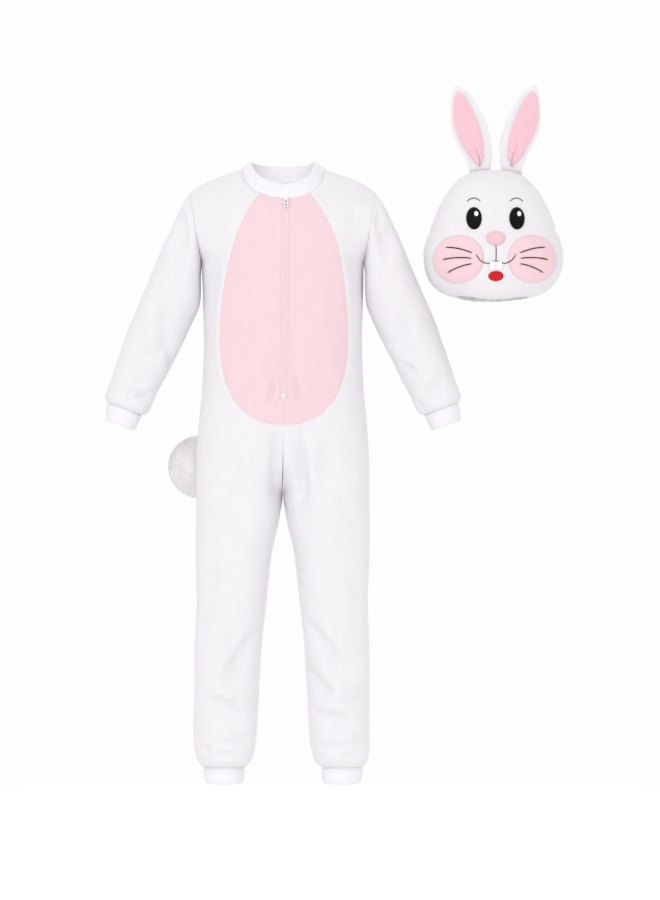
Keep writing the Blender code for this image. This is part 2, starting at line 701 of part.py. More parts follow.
def make_collar(parts):
    turns = np.linspace(0.0, 2 * math.pi, COLLAR_COLUMNS + 1)
    grid = np.array([[collar_point(row, turn) for turn in turns] for row in COLLAR], dtype=float)
    for r in range(grid.shape[0]):
        for c, sign in ((0, 1), (COLLAR_COLUMNS, -1)):
            grid[r, c, 0] = lean_at(0.0) + sign * (ZIP_SLOT / 2 + GAP / 2)
    normals = np.zeros_like(grid)
    for c, turn in enumerate(turns):
        normals[:, c] = (math.sin(turn), -math.cos(turn), 0.0)
    normals[:, 0] = (0.0, -1.0, 0.0)
    normals[:, -1] = (0.0, -1.0, 0.0)
    make_object("collar", parts, "white_rib", wall_between(grid, grid - normals * RIB_WALL, False))


def front_line(z):
    """A point on the outer face at the zip, on the body or on the collar above the neck seam."""
    if z <= UNDERARM_Z:
        point = lower_point(z, 0.0, FRONT)
        return np.array([lean_at(z), point.y, z])
    if z <= -NECK_DROP[FRONT]:
        rise = (z - UNDERARM_Z) / (-NECK_DROP[FRONT] - UNDERARM_Z)
        point = upper_point(math.asin(min(rise, 1.0)) / (math.pi / 2), 0.0, FRONT)
        return np.array([lean_at(z), point.y, z])
    heights = [-NECK_DROP[FRONT] + row.rise_front for row in COLLAR]
    depths = [-row.front for row in COLLAR]
    return np.array([lean_at(0.0), float(np.interp(z, heights, depths)), z])


def strip(name, parts, material_name, heights, half_width, low, high):
    """A flat strip up the front line, between two heights above the outer face."""
    centres = np.array([front_line(z) for z in heights])
    runs = np.gradient(centres, axis=0)
    outer, inner = [], []
    for centre, run in zip(centres, runs):
        out = unit(np.array([0.0, run[2], -run[1]]))
        out = out if out[1] < 0 else -out
        for grid, lift in ((outer, high), (inner, low)):
            middle = centre + out * lift
            grid.append([middle + np.array([x, 0.0, 0.0]) for x in (-half_width, half_width)])
    return make_object(name, parts, material_name, wall_between(np.array(outer), np.array(inner), False))


def make_zip_chain(parts):
    top = -NECK_DROP[FRONT] + COLLAR[-1].rise_front - 0.001
    heights = [top, top - 0.008, top - 0.016, *np.linspace(-NECK_DROP[FRONT] - 0.002, ZIP_STOP_Z, 22)]
    strip("zip_chain", parts, "zip_white", heights, ZIP_SLOT / 2 - GAP / 2, -ZIP_THICK, 0.0)
    stop = [ZIP_STOP_Z + 0.0060, ZIP_STOP_Z + 0.0030, ZIP_STOP_Z + 0.0002]
    strip("zip_stop", parts, "zip_white", stop, 0.0030, GAP, GAP + 0.0011)


def slider_frame():
    """Place and turn of the slider: its Z leaves the cloth, its Y points up along the zip."""
    above, here, below = (front_line(SLIDER_Z + step) for step in (0.004, 0.0, -0.004))
    up = Vector(above - below).normalized()
    up.x = 0.0
    up.normalize()
    out = Vector((0.0, -up.z, up.y))
    place = Vector(here) + out * GAP
    turn = Matrix((Vector((1.0, 0.0, 0.0)), up, out)).transposed()
    return Matrix.Translation(place) @ turn.to_4x4()


def box_mesh(size, centre):
    def fill(build):
        bmesh.ops.create_cube(build, size=1.0)
        bmesh.ops.scale(build, vec=size, verts=build.verts)
        bmesh.ops.translate(build, vec=centre, verts=build.verts)

    return fill


def join(target, tool):
    modifier = target.modifiers.new(tool.name, "BOOLEAN")
    modifier.operation = "UNION"
    modifier.object = tool
    modifier.solver = "EXACT"
    tool.hide_render = True
    tool.display_type = "WIRE"


def make_zip_hardware(parts, cutters):
    """Slider with its bail, and the pull whose pin turns under the bail."""
    frame = slider_frame()
    seat = bpy.data.objects.new("slider_place", None)
    parts.objects.link(seat)
    seat.matrix_world = frame
    width, length, thick = SLIDER_SIZE
    slider = make_object("zip_slider", parts, "zip_white", box_mesh((width, length, thick), (0, 0, thick / 2)))
    bail_inner = BAIL_LENGTH - 2 * BAIL_THICK
    for number, (size, centre) in enumerate((
        ((BAIL_WIDTH, BAIL_THICK, BAIL_RISE), (0, (bail_inner + BAIL_THICK) / 2, thick + BAIL_RISE / 2 - 0.0002)),
        ((BAIL_WIDTH, BAIL_THICK, BAIL_RISE), (0, -(bail_inner + BAIL_THICK) / 2, thick + BAIL_RISE / 2 - 0.0002)),
        ((BAIL_WIDTH, BAIL_LENGTH, BAIL_THICK), (0, 0, thick + BAIL_RISE - BAIL_THICK / 2)),
    )):
        piece = make_object(f"bail_{number}", cutters, "zip_white", box_mesh(size, centre))
        join(slider, piece)
        piece.parent = seat
    slider.parent = seat

    pin = bpy.data.objects.new("pull_pin", None)
    parts.objects.link(pin)
    pin.parent = seat
    pin.location = (0.0, 0.0, thick + PIN_HEIGHT)
    plate = 2 * PIN_RADIUS
    pull = make_object("zip_pull", parts, "zip_white", box_mesh(
        (PULL_WIDTH, PULL_LENGTH - PULL_ARM_LENGTH, plate),
        (0, -(PULL_LENGTH + PULL_ARM_LENGTH) / 2, 0),
    ))
    arm_x = (PULL_WIDTH - PULL_ARM) / 2
    arm_size = (PULL_ARM, PULL_ARM_LENGTH + PIN_RADIUS + 0.0002, plate)
    arm_y = (PIN_RADIUS - PULL_ARM_LENGTH - 0.0002) / 2
    tools = [
        make_object("pull_arm_left", cutters, "zip_white", box_mesh(arm_size, (-arm_x, arm_y, 0))),
        make_object("pull_arm_right", cutters, "zip_white", box_mesh(arm_size, (arm_x, arm_y, 0))),
        make_object("pull_bar", cutters, "zip_white", box_mesh(
            (PULL_WIDTH - 2 * PULL_ARM + 0.0004, plate * 0.8, plate * 0.8), (0, 0, 0),
        )),
    ]
    for tool in tools:
        join(pull, tool)
        tool.parent = pin

    def hole(build):
        bmesh.ops.create_cone(
            build, cap_ends=True, segments=16, radius1=PULL_HOLE, radius2=PULL_HOLE, depth=4 * plate
        )
        bmesh.ops.translate(build, vec=(0, -PULL_LENGTH + 3.2 * MM, 0), verts=build.verts)

    drill = make_object("pull_hole", cutters, "zip_white", hole)
    drill.hide_render = True
    drill.display_type = "WIRE"
    drill.parent = pin
    cut(pull, drill, "DIFFERENCE")
    pull.parent = pin


def tail_depth():
    """How far back the tail's middle stands, so that the ball just clears the hip."""
    depth = 0.02
    wall = [lower_point(TAIL_Z + dz, c / 60, BACK) for c in range(61) for dz in np.linspace(-0.06, 0.06, 13)]
    while True:
        nearest = min(
            math.dist((abs(TAIL_X), depth, TAIL_Z), (point.x, point.y, point.z)) for point in wall
        )
        inside = depth < smooth(BODY, "back", TAIL_Z) * 0.5
        if nearest >= TAIL_RADIUS + GAP and not inside:
            return depth
        depth += 0.0002


def make_tail(parts):
    def fill(build):
        bmesh.ops.create_icosphere(build, subdivisions=3, radius=TAIL_RADIUS)
        bmesh.ops.translate(build, vec=(TAIL_X, tail_depth(), TAIL_Z), verts=build.verts)

    make_object("tail", parts, "tail_plush", fill)


def head_section(z, face):
    depth = smooth(HEAD, "front" if face == FRONT else "back", z)
    return smooth(HEAD, "half_width", z), depth


def head_lift(share_x, z):
    """The neck hole's edge rises towards the sides of the head."""
    low = min(max((-z - 0.190) / 0.034, 0.0), 1.0)
    return NECK_HOLE_LIFT * low * share_x ** 2


def make_head_half(parts, face, name):
    rows = []
    for row in HEAD:
        half_width, depth = head_section(row.z, face)
        ring = []
        for c in range(HEAD_COLUMNS + 1):
            turn = (c / HEAD_COLUMNS - 0.5) * math.pi
            wave = math.sin(turn)
            across = math.copysign(round_off(wave), wave)
            ring.append((
                HEAD_X + half_width * across,
                face * (GAP / 2 + depth * round_off(math.cos(turn))),
                row.z + head_lift(across, row.z),
            ))
        rows.append(ring)
    grid = np.array(rows, dtype=float)
    away = grid - np.array([HEAD_X, 0.0, -0.12])
    normals = grid_normals(grid, False)
    if np.sum(normals * away) < 0.0:
        normals = -normals
    normals[0] = (0.0, 0.0, 1.0)
    for column in (0, HEAD_COLUMNS):
        normals[:, column, 1] = 0.0
    for r in range(grid.shape[0]):
        for c in range(grid.shape[1]):
            normals[r, c] = unit(normals[r, c])
    wall = wall_between(grid, grid - normals * PADDED_WALL, False)
    make_object(name, parts, "white_plush", wall)


def face_surface(x, z):
    """A point on the face's outer side under a place seen from the front, and its outward direction."""
    def depth_at(px, pz):
        half_width, depth = head_section(pz, FRONT)
        share = min(abs(px) / half_width, 0.999)
        return -(GAP / 2 + depth * (1.0 - share ** FULLNESS) ** (1.0 / FULLNESS))

    step = 0.0005
    slope_x = (depth_at(x + step, z) - depth_at(x - step, z)) / (2 * step)
    slope_z = (depth_at(x, z + step) - depth_at(x, z - step)) / (2 * step)
    return np.array([HEAD_X + x, depth_at(x, z), z]), unit(np.array([slope_x, -1.0, slope_z]))


def make_face_pad(parts, pad, material_name):
    """A low pad that lies on the face and follows it, thickest in its middle."""
    outer, inner = [], []
    for ring in range(pad.rings + 1):
        share = ring / pad.rings
        top, bottom = [], []
        for c in range(pad.columns):
            turn = 2 * math.pi * c / pad.columns
            x = pad.x + pad.half_width * share * math.cos(turn)
            z = pad.z + pad.half_height * share * math.sin(turn)
            point, out = face_surface(x, z)
            top.append(point + out * (PAD_LIFT + PAD_EDGE + pad.crown * (1.0 - share ** 2)))
            bottom.append(point + out * PAD_LIFT)
        outer.append(top)
        inner.append(bottom)

    def fill(build):
        tops = [[build.verts.new(p) for p in ring] for ring in outer]
        lows = [[build.verts.new(p) for p in ring] for ring in inner]
        for grid in (tops, lows):
            for r in range(pad.rings):
                for c in range(pad.columns):
                    n = (c + 1) % pad.columns
                    build.faces.new((grid[r][c], grid[r][n], grid[r + 1][n], grid[r + 1][c]))
        for c in range(pad.columns):
            n = (c + 1) % pad.columns
            build.faces.new((tops[-1][c], tops[-1][n], lows[-1][n], lows[-1][c]))

    make_object(pad.name, parts, material_name, fill)


def make_teeth(parts):
    width, thick, height = TOOTH_SIZE
    point, out = face_surface(0.0, TOOTH_Z)
    y = min(face_surface(x, TOOTH_Z + z)[0][1] for x in (0.0, width) for z in (-height / 2, height / 2))

    def fill(build):
        bmesh.ops.create_cube(build, size=1.0)
        bmesh.ops.scale(build, vec=(2 * width, thick, height), verts=build.verts)
        edges = [e for e in build.edges if abs(e.verts[0].co.z - e.verts[1].co.z) < 1e-6]
        bmesh.ops.bevel(build, geom=edges, offset=0.0012, segments=2, affect="EDGES")
        bmesh.ops.translate(build, vec=(HEAD_X, y - thick / 2 - GAP, TOOTH_Z), verts=build.verts)

    make_object("teeth", parts, "white_rib", fill)


def ear_ring(row, side):
    """Points round an ear's section, flatter in front than behind."""
    points = []
    centre = HEAD_X + EAR_SHIFT + side * row.centre
    for c in range(EAR_COLUMNS):
        turn = 2 * math.pi * c / EAR_COLUMNS
        y = row.thick / 2 * math.sin(turn)
        if y < 0:
            y *= EAR_FLATNESS
        points.append((centre + row.half_width * math.cos(turn), EAR_Y + y, row.z))
    return points


def crown_height(x, y):
    """Height of the head's outer face over a place on its crown."""
    high, low = HEAD[0].z, -0.060
    for _ in range(30):
        middle = (high + low) / 2
        half_width, depth = head_section(middle, FRONT if y < 0 else BACK)
        inside = (abs(x - HEAD_X) / half_width) ** FULLNESS + (abs(y) / depth) ** FULLNESS < 1.0
        high, low = (high, middle) if inside else (middle, low)
    return low


def make_ear(parts, side, side_name):
    rings = [ear_ring(row, side) for row in EAR]
    rings[0] = [(x, y, crown_height(x, y) + EAR_SEAT) for x, y, _ in rings[0]]

    def fill(build):
        verts = [[build.verts.new(p) for p in ring] for ring in rings]
        for r in range(len(verts) - 1):
            for c in range(EAR_COLUMNS):
                n = (c + 1) % EAR_COLUMNS
                build.faces.new((verts[r][c], verts[r][n], verts[r + 1][n], verts[r + 1][c]))
        seat_x = HEAD_X + EAR_SHIFT + side * EAR[0].centre
        seat = build.verts.new((seat_x, EAR_Y, crown_height(seat_x, EAR_Y) + EAR_SEAT))
        for c in range(EAR_COLUMNS):
            build.faces.new((verts[0][c], verts[0][(c + 1) % EAR_COLUMNS], seat))
        build.faces.new(list(reversed(verts[-1])))

    make_object(f"ear_{side_name}", parts, "white_plush", fill)


def ear_front(row, share):
    """Depth of the ear's front at a share of its half width."""
    return EAR_Y - row.thick / 2 * EAR_FLATNESS * math.sqrt(max(1.0 - share * share, 0.0))


def make_ear_lining(parts, side, side_name):
    outer, inner = [], []
    rows = EAR[1:-1]
    for number, row in enumerate(rows):
        half_width = row.half_width - LINING_INSET
        if number in (0, len(rows) - 1):
            half_width *= LINING_END
        centre = HEAD_X + EAR_SHIFT + side * row.centre
        top, low = [], []
        for i in range(LINING_STEPS + 1):
            x = half_width * (2 * i / LINING_STEPS - 1)
            y = ear_front(row, x / row.half_width) - LINING_LIFT
            low.append((centre + x, y, row.z))
            top.append((centre + x, y - LINING_THICK, row.z))
        outer.append(top)
        inner.append(low)
    wall = wall_between(np.array(outer), np.array(inner), False)
    make_object(f"ear_lining_{side_name}", parts, "pink_plush", wall)


def make_head(parts):
    make_head_half(parts, FRONT, "head_front")
    make_head_half(parts, BACK, "head_back")
    looks = {"cheek": "pink_plush", "eye": "black_satin", "nose": "pink_plush", "tongue": "red_plush"}
    for pad in FACE_PADS:
        make_face_pad(parts, pad, looks[pad.name.split("_")[0]])
    make_teeth(parts)
    for side, side_name in ((LEFT, "left"), (RIGHT, "right")):
        make_ear(parts, side, side_name)
        make_ear_lining(parts, side, side_name)


def main():
    clear_scene()
    parts = new_collection("rabbit_costume")
    cutters = new_collection("cutters")
    make_body(parts, cutters)
    for side, side_name in ((LEFT, "left"), (RIGHT, "right")):
        make_sleeve(parts, side, side_name)
        make_wrist_cuff(parts, side, side_name)
        make_ankle_cuff(parts, side, side_name)
    make_collar(parts)
    make_zip_chain(parts)
    make_zip_hardware(parts, cutters)
    make_tail(parts)
    make_head(parts)


main()
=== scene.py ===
# Rabbit costume: the looks of a child's plush jumpsuit and its padded rabbit head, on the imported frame.
# Metres, +Z up, the front faces -Y. Left and right are those of someone who looks at the front.
import math
import random
from collections import namedtuple

import bmesh
import bpy
import numpy as np
from bpy.props import FloatProperty, IntProperty, PointerProperty, StringProperty
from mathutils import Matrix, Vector, noise
from mathutils.bvhtree import BVHTree


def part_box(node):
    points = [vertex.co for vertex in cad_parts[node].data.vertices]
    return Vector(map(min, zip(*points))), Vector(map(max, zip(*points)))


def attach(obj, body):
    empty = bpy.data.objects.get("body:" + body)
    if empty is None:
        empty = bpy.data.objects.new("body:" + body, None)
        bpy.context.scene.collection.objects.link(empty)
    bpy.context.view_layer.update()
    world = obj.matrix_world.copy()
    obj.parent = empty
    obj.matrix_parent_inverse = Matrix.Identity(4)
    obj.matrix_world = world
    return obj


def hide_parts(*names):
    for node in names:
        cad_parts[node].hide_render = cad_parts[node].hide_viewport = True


bl_info = {
    "name": "Rabbit Costume",
    "version": (1, 0, 0),
    "blender": (4, 5, 0),
    "location": "3D View > Sidebar > Rabbit Costume",
    "description": "Plush rabbit jumpsuit with a padded head: cloth, sewing, zip and studio",
    "category": "Object",
}

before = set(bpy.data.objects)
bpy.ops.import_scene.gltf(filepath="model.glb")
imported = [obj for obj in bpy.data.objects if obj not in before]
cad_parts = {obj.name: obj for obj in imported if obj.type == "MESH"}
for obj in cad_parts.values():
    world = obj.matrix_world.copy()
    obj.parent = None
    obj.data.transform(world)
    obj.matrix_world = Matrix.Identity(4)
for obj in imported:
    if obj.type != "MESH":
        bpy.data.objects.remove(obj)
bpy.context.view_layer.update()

LEFT, RIGHT = -1, 1
FRONT, BACK = -1, 1
SIDES = ((LEFT, "left"), (RIGHT, "right"))
FULLNESS = 2.3          # exponent of the rounded sections, 2 is an ellipse


def in_metres(kind, *rows):
    """Rows of a table that is written in millimetres, and its shares in thousandths."""
    return [kind(*(value / 1000 for value in row)) for row in rows]


# Neck, shoulders and armholes, as in the part
NECK_HALF_WIDTH = 0.070
NECK_DEPTH = {FRONT: 0.062, BACK: 0.052}
NECK_DROP = {FRONT: 0.0510, BACK: 0.0160}   # the solids' drops are 0.049 and 0.007
NECK_SHARE = 0.5                            # of the panel's width, the rest is the shoulder
SHOULDER_HALF_WIDTH = 0.158
SHOULDER_DROP = 0.039
SHOULDER_RISE = 0.0042                      # how far the filled-out cloth arches above the straight seam
UNDERARM_Z = -0.1615
ARMHOLE_DEPTH = {FRONT: 0.050, BACK: 0.056}
ARMHOLE_ROUNDNESS = 0.8

# Front closing
ZIP_SLOT = 0.0022       # the plush reaches over the solid's 5 mm zip
NECK_SLOT = {FRONT: ZIP_SLOT / 2, BACK: 0.0}
SLOT_FADE = 0.012       # the slot closes over that height
ZIP_STOP_Z = -0.3876
SLIDER_Z = -0.0560
ZIP_LEAN = 0.0060       # how far right of the middle the zip's upper end stands
BELLY_HALF_WIDTH = 0.109
BELLY_Z = -0.289
BELLY_RISE = 0.269
BELLY_DROP = 0.146
BELLY_CENTRE_X = 0.0025
BELLY_POWER = {LEFT: 1.90, RIGHT: 2.0}      # how full the outline is above its widest place, 2 is an ellipse
BELLY_LOW_POWER = 2.35
BELLY_SWELL = (0.0036, -0.128, 0.045)       # the right edge bows out: how far, at which height, what reach
# Rows of the mesh that follow the belly's outline, by their distance outside it
BELLY_LEVELS = (-0.0075, -0.0035, -0.0015, 0.0, 0.0015, 0.0040, 0.0080)

# One row for each section of body and leg. split is 0 on the body and 1 where the legs are two tubes.
BodyRow = namedtuple("BodyRow", "z side front back inner split")
BODY = in_metres(
    BodyRow,
    (-161.5, 137, 86, 82, 0, 0), (-222.7, 136, 90, 80, 0, 0), (-289, 134, 92, 78, 0, 0),
    (-365.5, 137, 93, 83, 0, 0), (-442, 143.7, 91, 92, 0.4, 0), (-500, 147, 87, 94, 1, 200),
    (-534, 147.5, 83, 90, 1.5, 600), (-557.6, 147.5, 80, 85, 2, 1000), (-595, 147.2, 77, 80, 6.5, 1000),
    (-646, 146.5, 72, 75, 18, 1000), (-731, 145.5, 66, 68, 28, 1000), (-816, 147.5, 61, 64, 37, 1000),
    (-901, 147.5, 58, 61, 41.5, 1000), (-969, 147.5, 56, 58, 45.5, 1000), (-995, 146, 53, 54, 51, 1000),
    (-1007, 142, 46, 47, 57, 1000), (-1013.2, 135.5, 36, 37, 64.5, 1000),
)
CROTCH_Z = -0.5576
LEGS_PART_Z = -0.548    # the inner sides of the legs touch down to here
LEGS_PART_REACH = 0.030
HEM_Z = BODY[-1].z
HEM_BAND_Z = -0.960     # the rows of the mesh stand closer below here
# Lengths that set how many columns and rows a panel's mesh has; the hem's has room for closer rows
PANEL_WIDTH, CHEST_LENGTH, HEM_BAND_LENGTH = 0.235, 0.17, 0.09

# One row for each section of a sleeve after the armhole, by its outer and inner edge seen from the front
SleeveRow = namedtuple("SleeveRow", "outer_x outer_z inner_x inner_z depth")
SLEEVE = in_metres(
    SleeveRow,
    (171, -60, 140, -180, 54), (183.5, -86, 140, -197, 53), (199, -119, 140, -213, 51.5),
    (216.5, -160, 141.5, -228.5, 50), (236, -208, 147.5, -246, 48), (253.5, -247.5, 163, -281, 46.5),
    (266, -279.5, 179, -313, 44.5), (279, -316, 197, -348, 42), (290.5, -351, 214, -381, 39.5),
    (298.5, -374, 224, -402, 38.5), (302, -386, 230, -412.5, 36.5), (298.5, -394.5, 238, -417, 30.5),
)
WRIST_CUFF = in_metres(
    SleeveRow,
    (297.5, -395.5, 240.5, -417.5, 29), (300.5, -411, 246.5, -430, 28), (302, -425.5, 252, -442.5, 26.5),
)

# One row for each ring of an ankle cuff
CuffRow = namedtuple("CuffRow", "z centre half_width half_depth sag")
ANKLE_CUFF = in_metres(
    CuffRow, (-1013.2, 100, 34.5, 35, 0), (-1029, 100, 34, 34.5, 0.5), (-1041.2, 99.5, 32.5, 33, 1)
)
CUFF_ROWS = 0.0022      # distance between the rows of a cuff's mesh
RIB_PITCH = 0.0017      # from one knitted rib to the next

# One row for each ring of the collar, width as a share of the neck seam's. It rises above that seam.
CollarRow = namedtuple("CollarRow", "width front back rise_side rise_front rise_back")
COLLAR = in_metres(
    CollarRow,
    (1055, 66.2, 55.6, -0.8, -1, -0.8), (1000, 64.8, 54.2, 2.8, 3.6, 3.4),
    (905, 59.6, 50.4, 7.5, 13, 13), (800, 54, 47, 13.6, 24, 24),
)
COLLAR_ROWS = 0.0016    # distance between the rows of its mesh

# Large folds, as in the part: where each runs, its width, and its height, below 0 for a trough
Fold = namedtuple("Fold", "x0 z0 x1 z1 width height")
FOLD_GAIN = 1.45        # the looks' folds are that much higher than the solids'
FOLDS = {
    FRONT: in_metres(
        Fold,
        (-120, -60, -112, -122, 14, -4.5), (120, -60, 128, -112, 14, -4.5),
        (-16, -430, -12, -560, 13, -5.5), (30, -430, 34, -590, 14, -5), (66, -440, 62, -510, 16, -3.5),
        (-18, -350, -26, -400, 12, -2.5), (18, -345, 26, -400, 12, -2.5),
        (-44, -780, -104, -884, 14, -5.5), (-73, -770, -94, -815, 13, -3), (-130, -900, -72, -932, 14, -5),
        (43, -765, 104, -855, 14, -5), (40, -842, 88, -900, 13, -4.5), (98, -900, 142, -884, 13, -4.5),
        (54, -920, 112, -932, 13, -4),
    ),
    BACK: in_metres(
        Fold,
        (-40, -60, -60, -150, 18, -3.5), (44, -70, 62, -140, 18, -3.5), (-110, -250, -50, -300, 18, -4),
        (112, -262, 48, -320, 18, -4), (-30, -500, -100, -580, 16, -5.5), (30, -500, 105, -590, 16, -5.5),
        (-60, -760, -130, -800, 16, -5), (55, -780, 125, -820, 16, -5), (-120, -890, -62, -925, 15, -5),
        (120, -900, 60, -940, 15, -5),
    ),
}
# The same for the sleeves, written for the right one and mirrored
SLEEVE_FOLDS = {
    FRONT: in_metres(
        Fold,
        (168, -80, 170, -150, 12, -4.5), (212, -240, 196, -300, 14, -3.5),
        (190, -300, 235, -318, 12, -3.5), (232, -385, 270, -378, 10, -3.5),
    ),
    BACK: in_metres(
        Fold,
        (170, -90, 180, -160, 14, -4), (180, -290, 240, -300, 13, -4), (222, -370, 275, -366, 11, -3.5),
    ),
}

# Where the side seams swell or draw in: height, reach up and down, and how far
SIDE_SWELLS = {
    LEFT: ((-0.945, 0.055, 0.0052), (-0.820, 0.060, 0.0025)),
    RIGHT: ((-0.700, 0.200, -0.0012), (-0.935, 0.035, -0.0010)),
}

# Finer creases that only the looks have. bow bends the line sideways, and a soft ridge follows each trough.
Crease = namedtuple("Crease", "x0 z0 x1 z1 width height bow")
CREASE_GAIN = 1.45      # creases are that much wider than listed
CREASES = {
    FRONT: in_metres(
        Crease,
        (-134, -70, -131, -135, 6, -1.6, 3), (137, -66, 134, -120, 6, -1.6, -3),
        (-112, -150, -126, -250, 10, -1.6, 4), (116, -140, 128, -230, 10, -1.6, -4),
        (-10, -344, -25, -400, 3.2, -1.4, 2), (-3, -372, -12.5, -408, 2.6, -1, 1),
        (15, -338, 30, -412, 3.2, -1.4, -2), (-62, -250, -70, -330, 10, -1, 4),
        (54, -300, 64, -372, 9, -1, -4), (-13.6, -442, -10.2, -555, 5.5, -2.2, 1),
        (30, -440, 35.5, -575, 5.5, -2, -2), (86, -432, 62, -560, 7, -1.4, 3),
        (-124, -660, -122, -900, 11, -1.2, 3), (126, -600, 124, -860, 11, -1.2, -3),
        (-130, -900, -64, -936, 8, -1.2, -14), (-60, -782, -85, -832, 7, -1, 2),
        (112, -946, 140, -968, 5.5, -1.4, -2), (-42.5, -778, -103.7, -884, 6, -2.2, 4),
        (-73, -772, -93.5, -818, 5, -1.4, 2), (-136, -896, -73, -926, 6, -2.2, -12),
        (-141, -978, -120, -980, 4, -1.6, -1), (-108, -970, -59, -968, 4.5, -2, -2),
        (-124, -988, -81, -990, 4, -1.4, -1), (42.5, -765, 105.4, -853, 6, -2.2, -3),
        (37.4, -841.5, 88.4, -901, 5.5, -1.8, -3), (98, -902, 144, -884, 5, -1.8, 5),
        (54.4, -918, 113.9, -932, 5, -1.8, -2), (63, -975, 105.4, -977, 4.5, -1.8, -2),
        (107, -970, 139.4, -968, 4, -1.4, -1), (96, -992, 123, -991, 4, -1.2, -1),
        (-112, -600, -118, -740, 12, -1.6, 4), (112, -560, 108, -720, 12, -1.4, -4),
    ),
    BACK: in_metres(
        Crease,
        (-110, -170, -70, -250, 7, -2, 6), (108, -175, 64, -262, 7, -1.8, -6),
        (-118, -330, -30, -352, 8, -2, -6), (116, -345, 24, -372, 8, -1.8, -5),
        (-28, -505, -108, -575, 7, -2.4, -8), (28, -508, 106, -588, 7, -2.4, 8),
        (-35, -600, -100, -650, 7, -1.8, -5), (36, -610, 102, -655, 7, -1.8, 5),
        (-50, -752, -134, -790, 6, -2.2, -6), (48, -770, 132, -812, 6, -2.2, 6),
        (-130, -885, -56, -930, 6, -2.2, 4), (130, -894, 56, -942, 6, -2.2, -4),
        (-130, -975, -70, -978, 4.5, -1.8, -2), (128, -968, 74, -974, 4.5, -1.8, 2),
    ),
}
SLEEVE_CREASES = {
    LEFT: {
        FRONT: in_metres(
            Crease,
            (-170, -68, -172, -140, 6, -2.2, 2), (-186, -86, -184, -150, 7, -1.4, 2),
            (-190, -190, -204, -270, 9, -1.4, 4), (-208, -210, -184, -306, 7, -1.8, 4),
            (-196, -306, -183, -334, 5, -1.6, 1), (-250, -386, -222.7, -384, 4, -2.2, 2),
            (-260, -358, -226, -356, 5, -1.6, 3),
        ),
        BACK: in_metres(
            Crease,
            (-182, -286, -240, -296, 6, -2, 4), (-205, -330, -256, -322, 6, -1.6, 3),
            (-224, -372, -274, -364, 5, -1.8, 2),
        ),
    },
    RIGHT: {
        FRONT: in_metres(
            Crease,
            (162, -64, 156, -112, 6, -2.2, -3), (178, -92, 174, -170, 7, -1.8, -3),
            (156, -130, 160, -205, 8, -1.6, 3), (204, -230, 194, -300, 8, -1.6, -4),
            (198, -330, 224, -350, 5.5, -2, -3), (223, -390, 244, -406, 4.5, -1.8, 2),
            (238, -374, 268, -370, 5, -1.4, -3),
        ),
        BACK: in_metres(
            Crease,
            (184, -292, 240, -304, 6, -2, -4), (202, -336, 256, -326, 6, -1.6, -3),
            (228, -378, 276, -368, 5, -1.8, -2),
        ),
    },
}

# Tail
TAIL_RADIUS = 0.0532
TAIL_SHIFT = Vector((-0.0020, 0.0, 0.0))    # from the solid's middle
# The hip covers the tail's fibres right of that place, as far as that depth
HIP_X = -0.1505
HIP_DEPTH = 0.060

# Padded head: one row for each level from the crown to the neck hole
HEAD_X = 0.357
HeadRow = namedtuple("HeadRow", "z half_width front back")
HEAD = in_metres(
    HeadRow,
    (0, 1, 1, 1), (-3.5, 33, 26, 28), (-13, 54, 46, 49), (-34, 74, 68, 70), (-60, 90, 84, 86),
    (-88, 102, 94, 95), (-116, 112, 100, 99), (-143, 118, 104, 100), (-167, 116, 103, 98),
    (-188, 108, 97, 92), (-205, 96, 87, 83), (-217, 82, 76, 73), (-224, 64, 64, 60),
)
HEAD_LENGTH, HEAD_HALF_GIRTH = 0.30, 0.34   # over the cloth, for the rows and columns of a half's mesh
NECK_HOLE_LIFT = 0.007  # how much higher the neck hole's edge is at its sides
NECK_HOLE_Z = -0.190    # the edge begins to lift below here
HEAD_TUCK_Z = -0.1040   # the side seams draw in at this height

# One row for each section of an ear, from its seat on the crown to the tip
EarRow = namedtuple("EarRow", "z centre half_width thick")
EAR = in_metres(
    EarRow,
    (4, 27, 15, 14), (17, 29, 21.5, 17), (38, 34, 27.5, 18), (56, 39.5, 31, 18), (76.5, 45.5, 31.2, 17),
    (98.5, 51, 26.8, 16), (119, 56, 20, 14), (134, 60.5, 13, 11), (143, 65, 5.5, 7),
)
EAR_X = HEAD_X + 0.0045  # the pair of ears stands a little right of the head's middle
EAR_Y = 0.004
EAR_FLATNESS = 0.55     # depth of the front as a share of the back's
EAR_TURN_Z = EAR[-2].z  # the rows of the mesh stand closer above here
LINING_LIFT = 0.0020    # how proud of the ear the lining's edge stands
LINING_LOW, LINING_HIGH = 0.0062, 0.1330
LINING_FOOT, LINING_TIP = 0.0055, 0.1340    # where its tapers begin
# White edge round the ear's lining, on its outer and inner side, at heights
LINING_Z = (0.0060, 0.0182, 0.0345, 0.0615, 0.0887, 0.1158, 0.1293)
LINING_OUTER = (0.0110, 0.0100, 0.0087, 0.0073, 0.0054, 0.0054, 0.0052)
LINING_INNER = (0.0120, 0.0140, 0.0150, 0.0150, 0.0145, 0.0135, 0.0120)

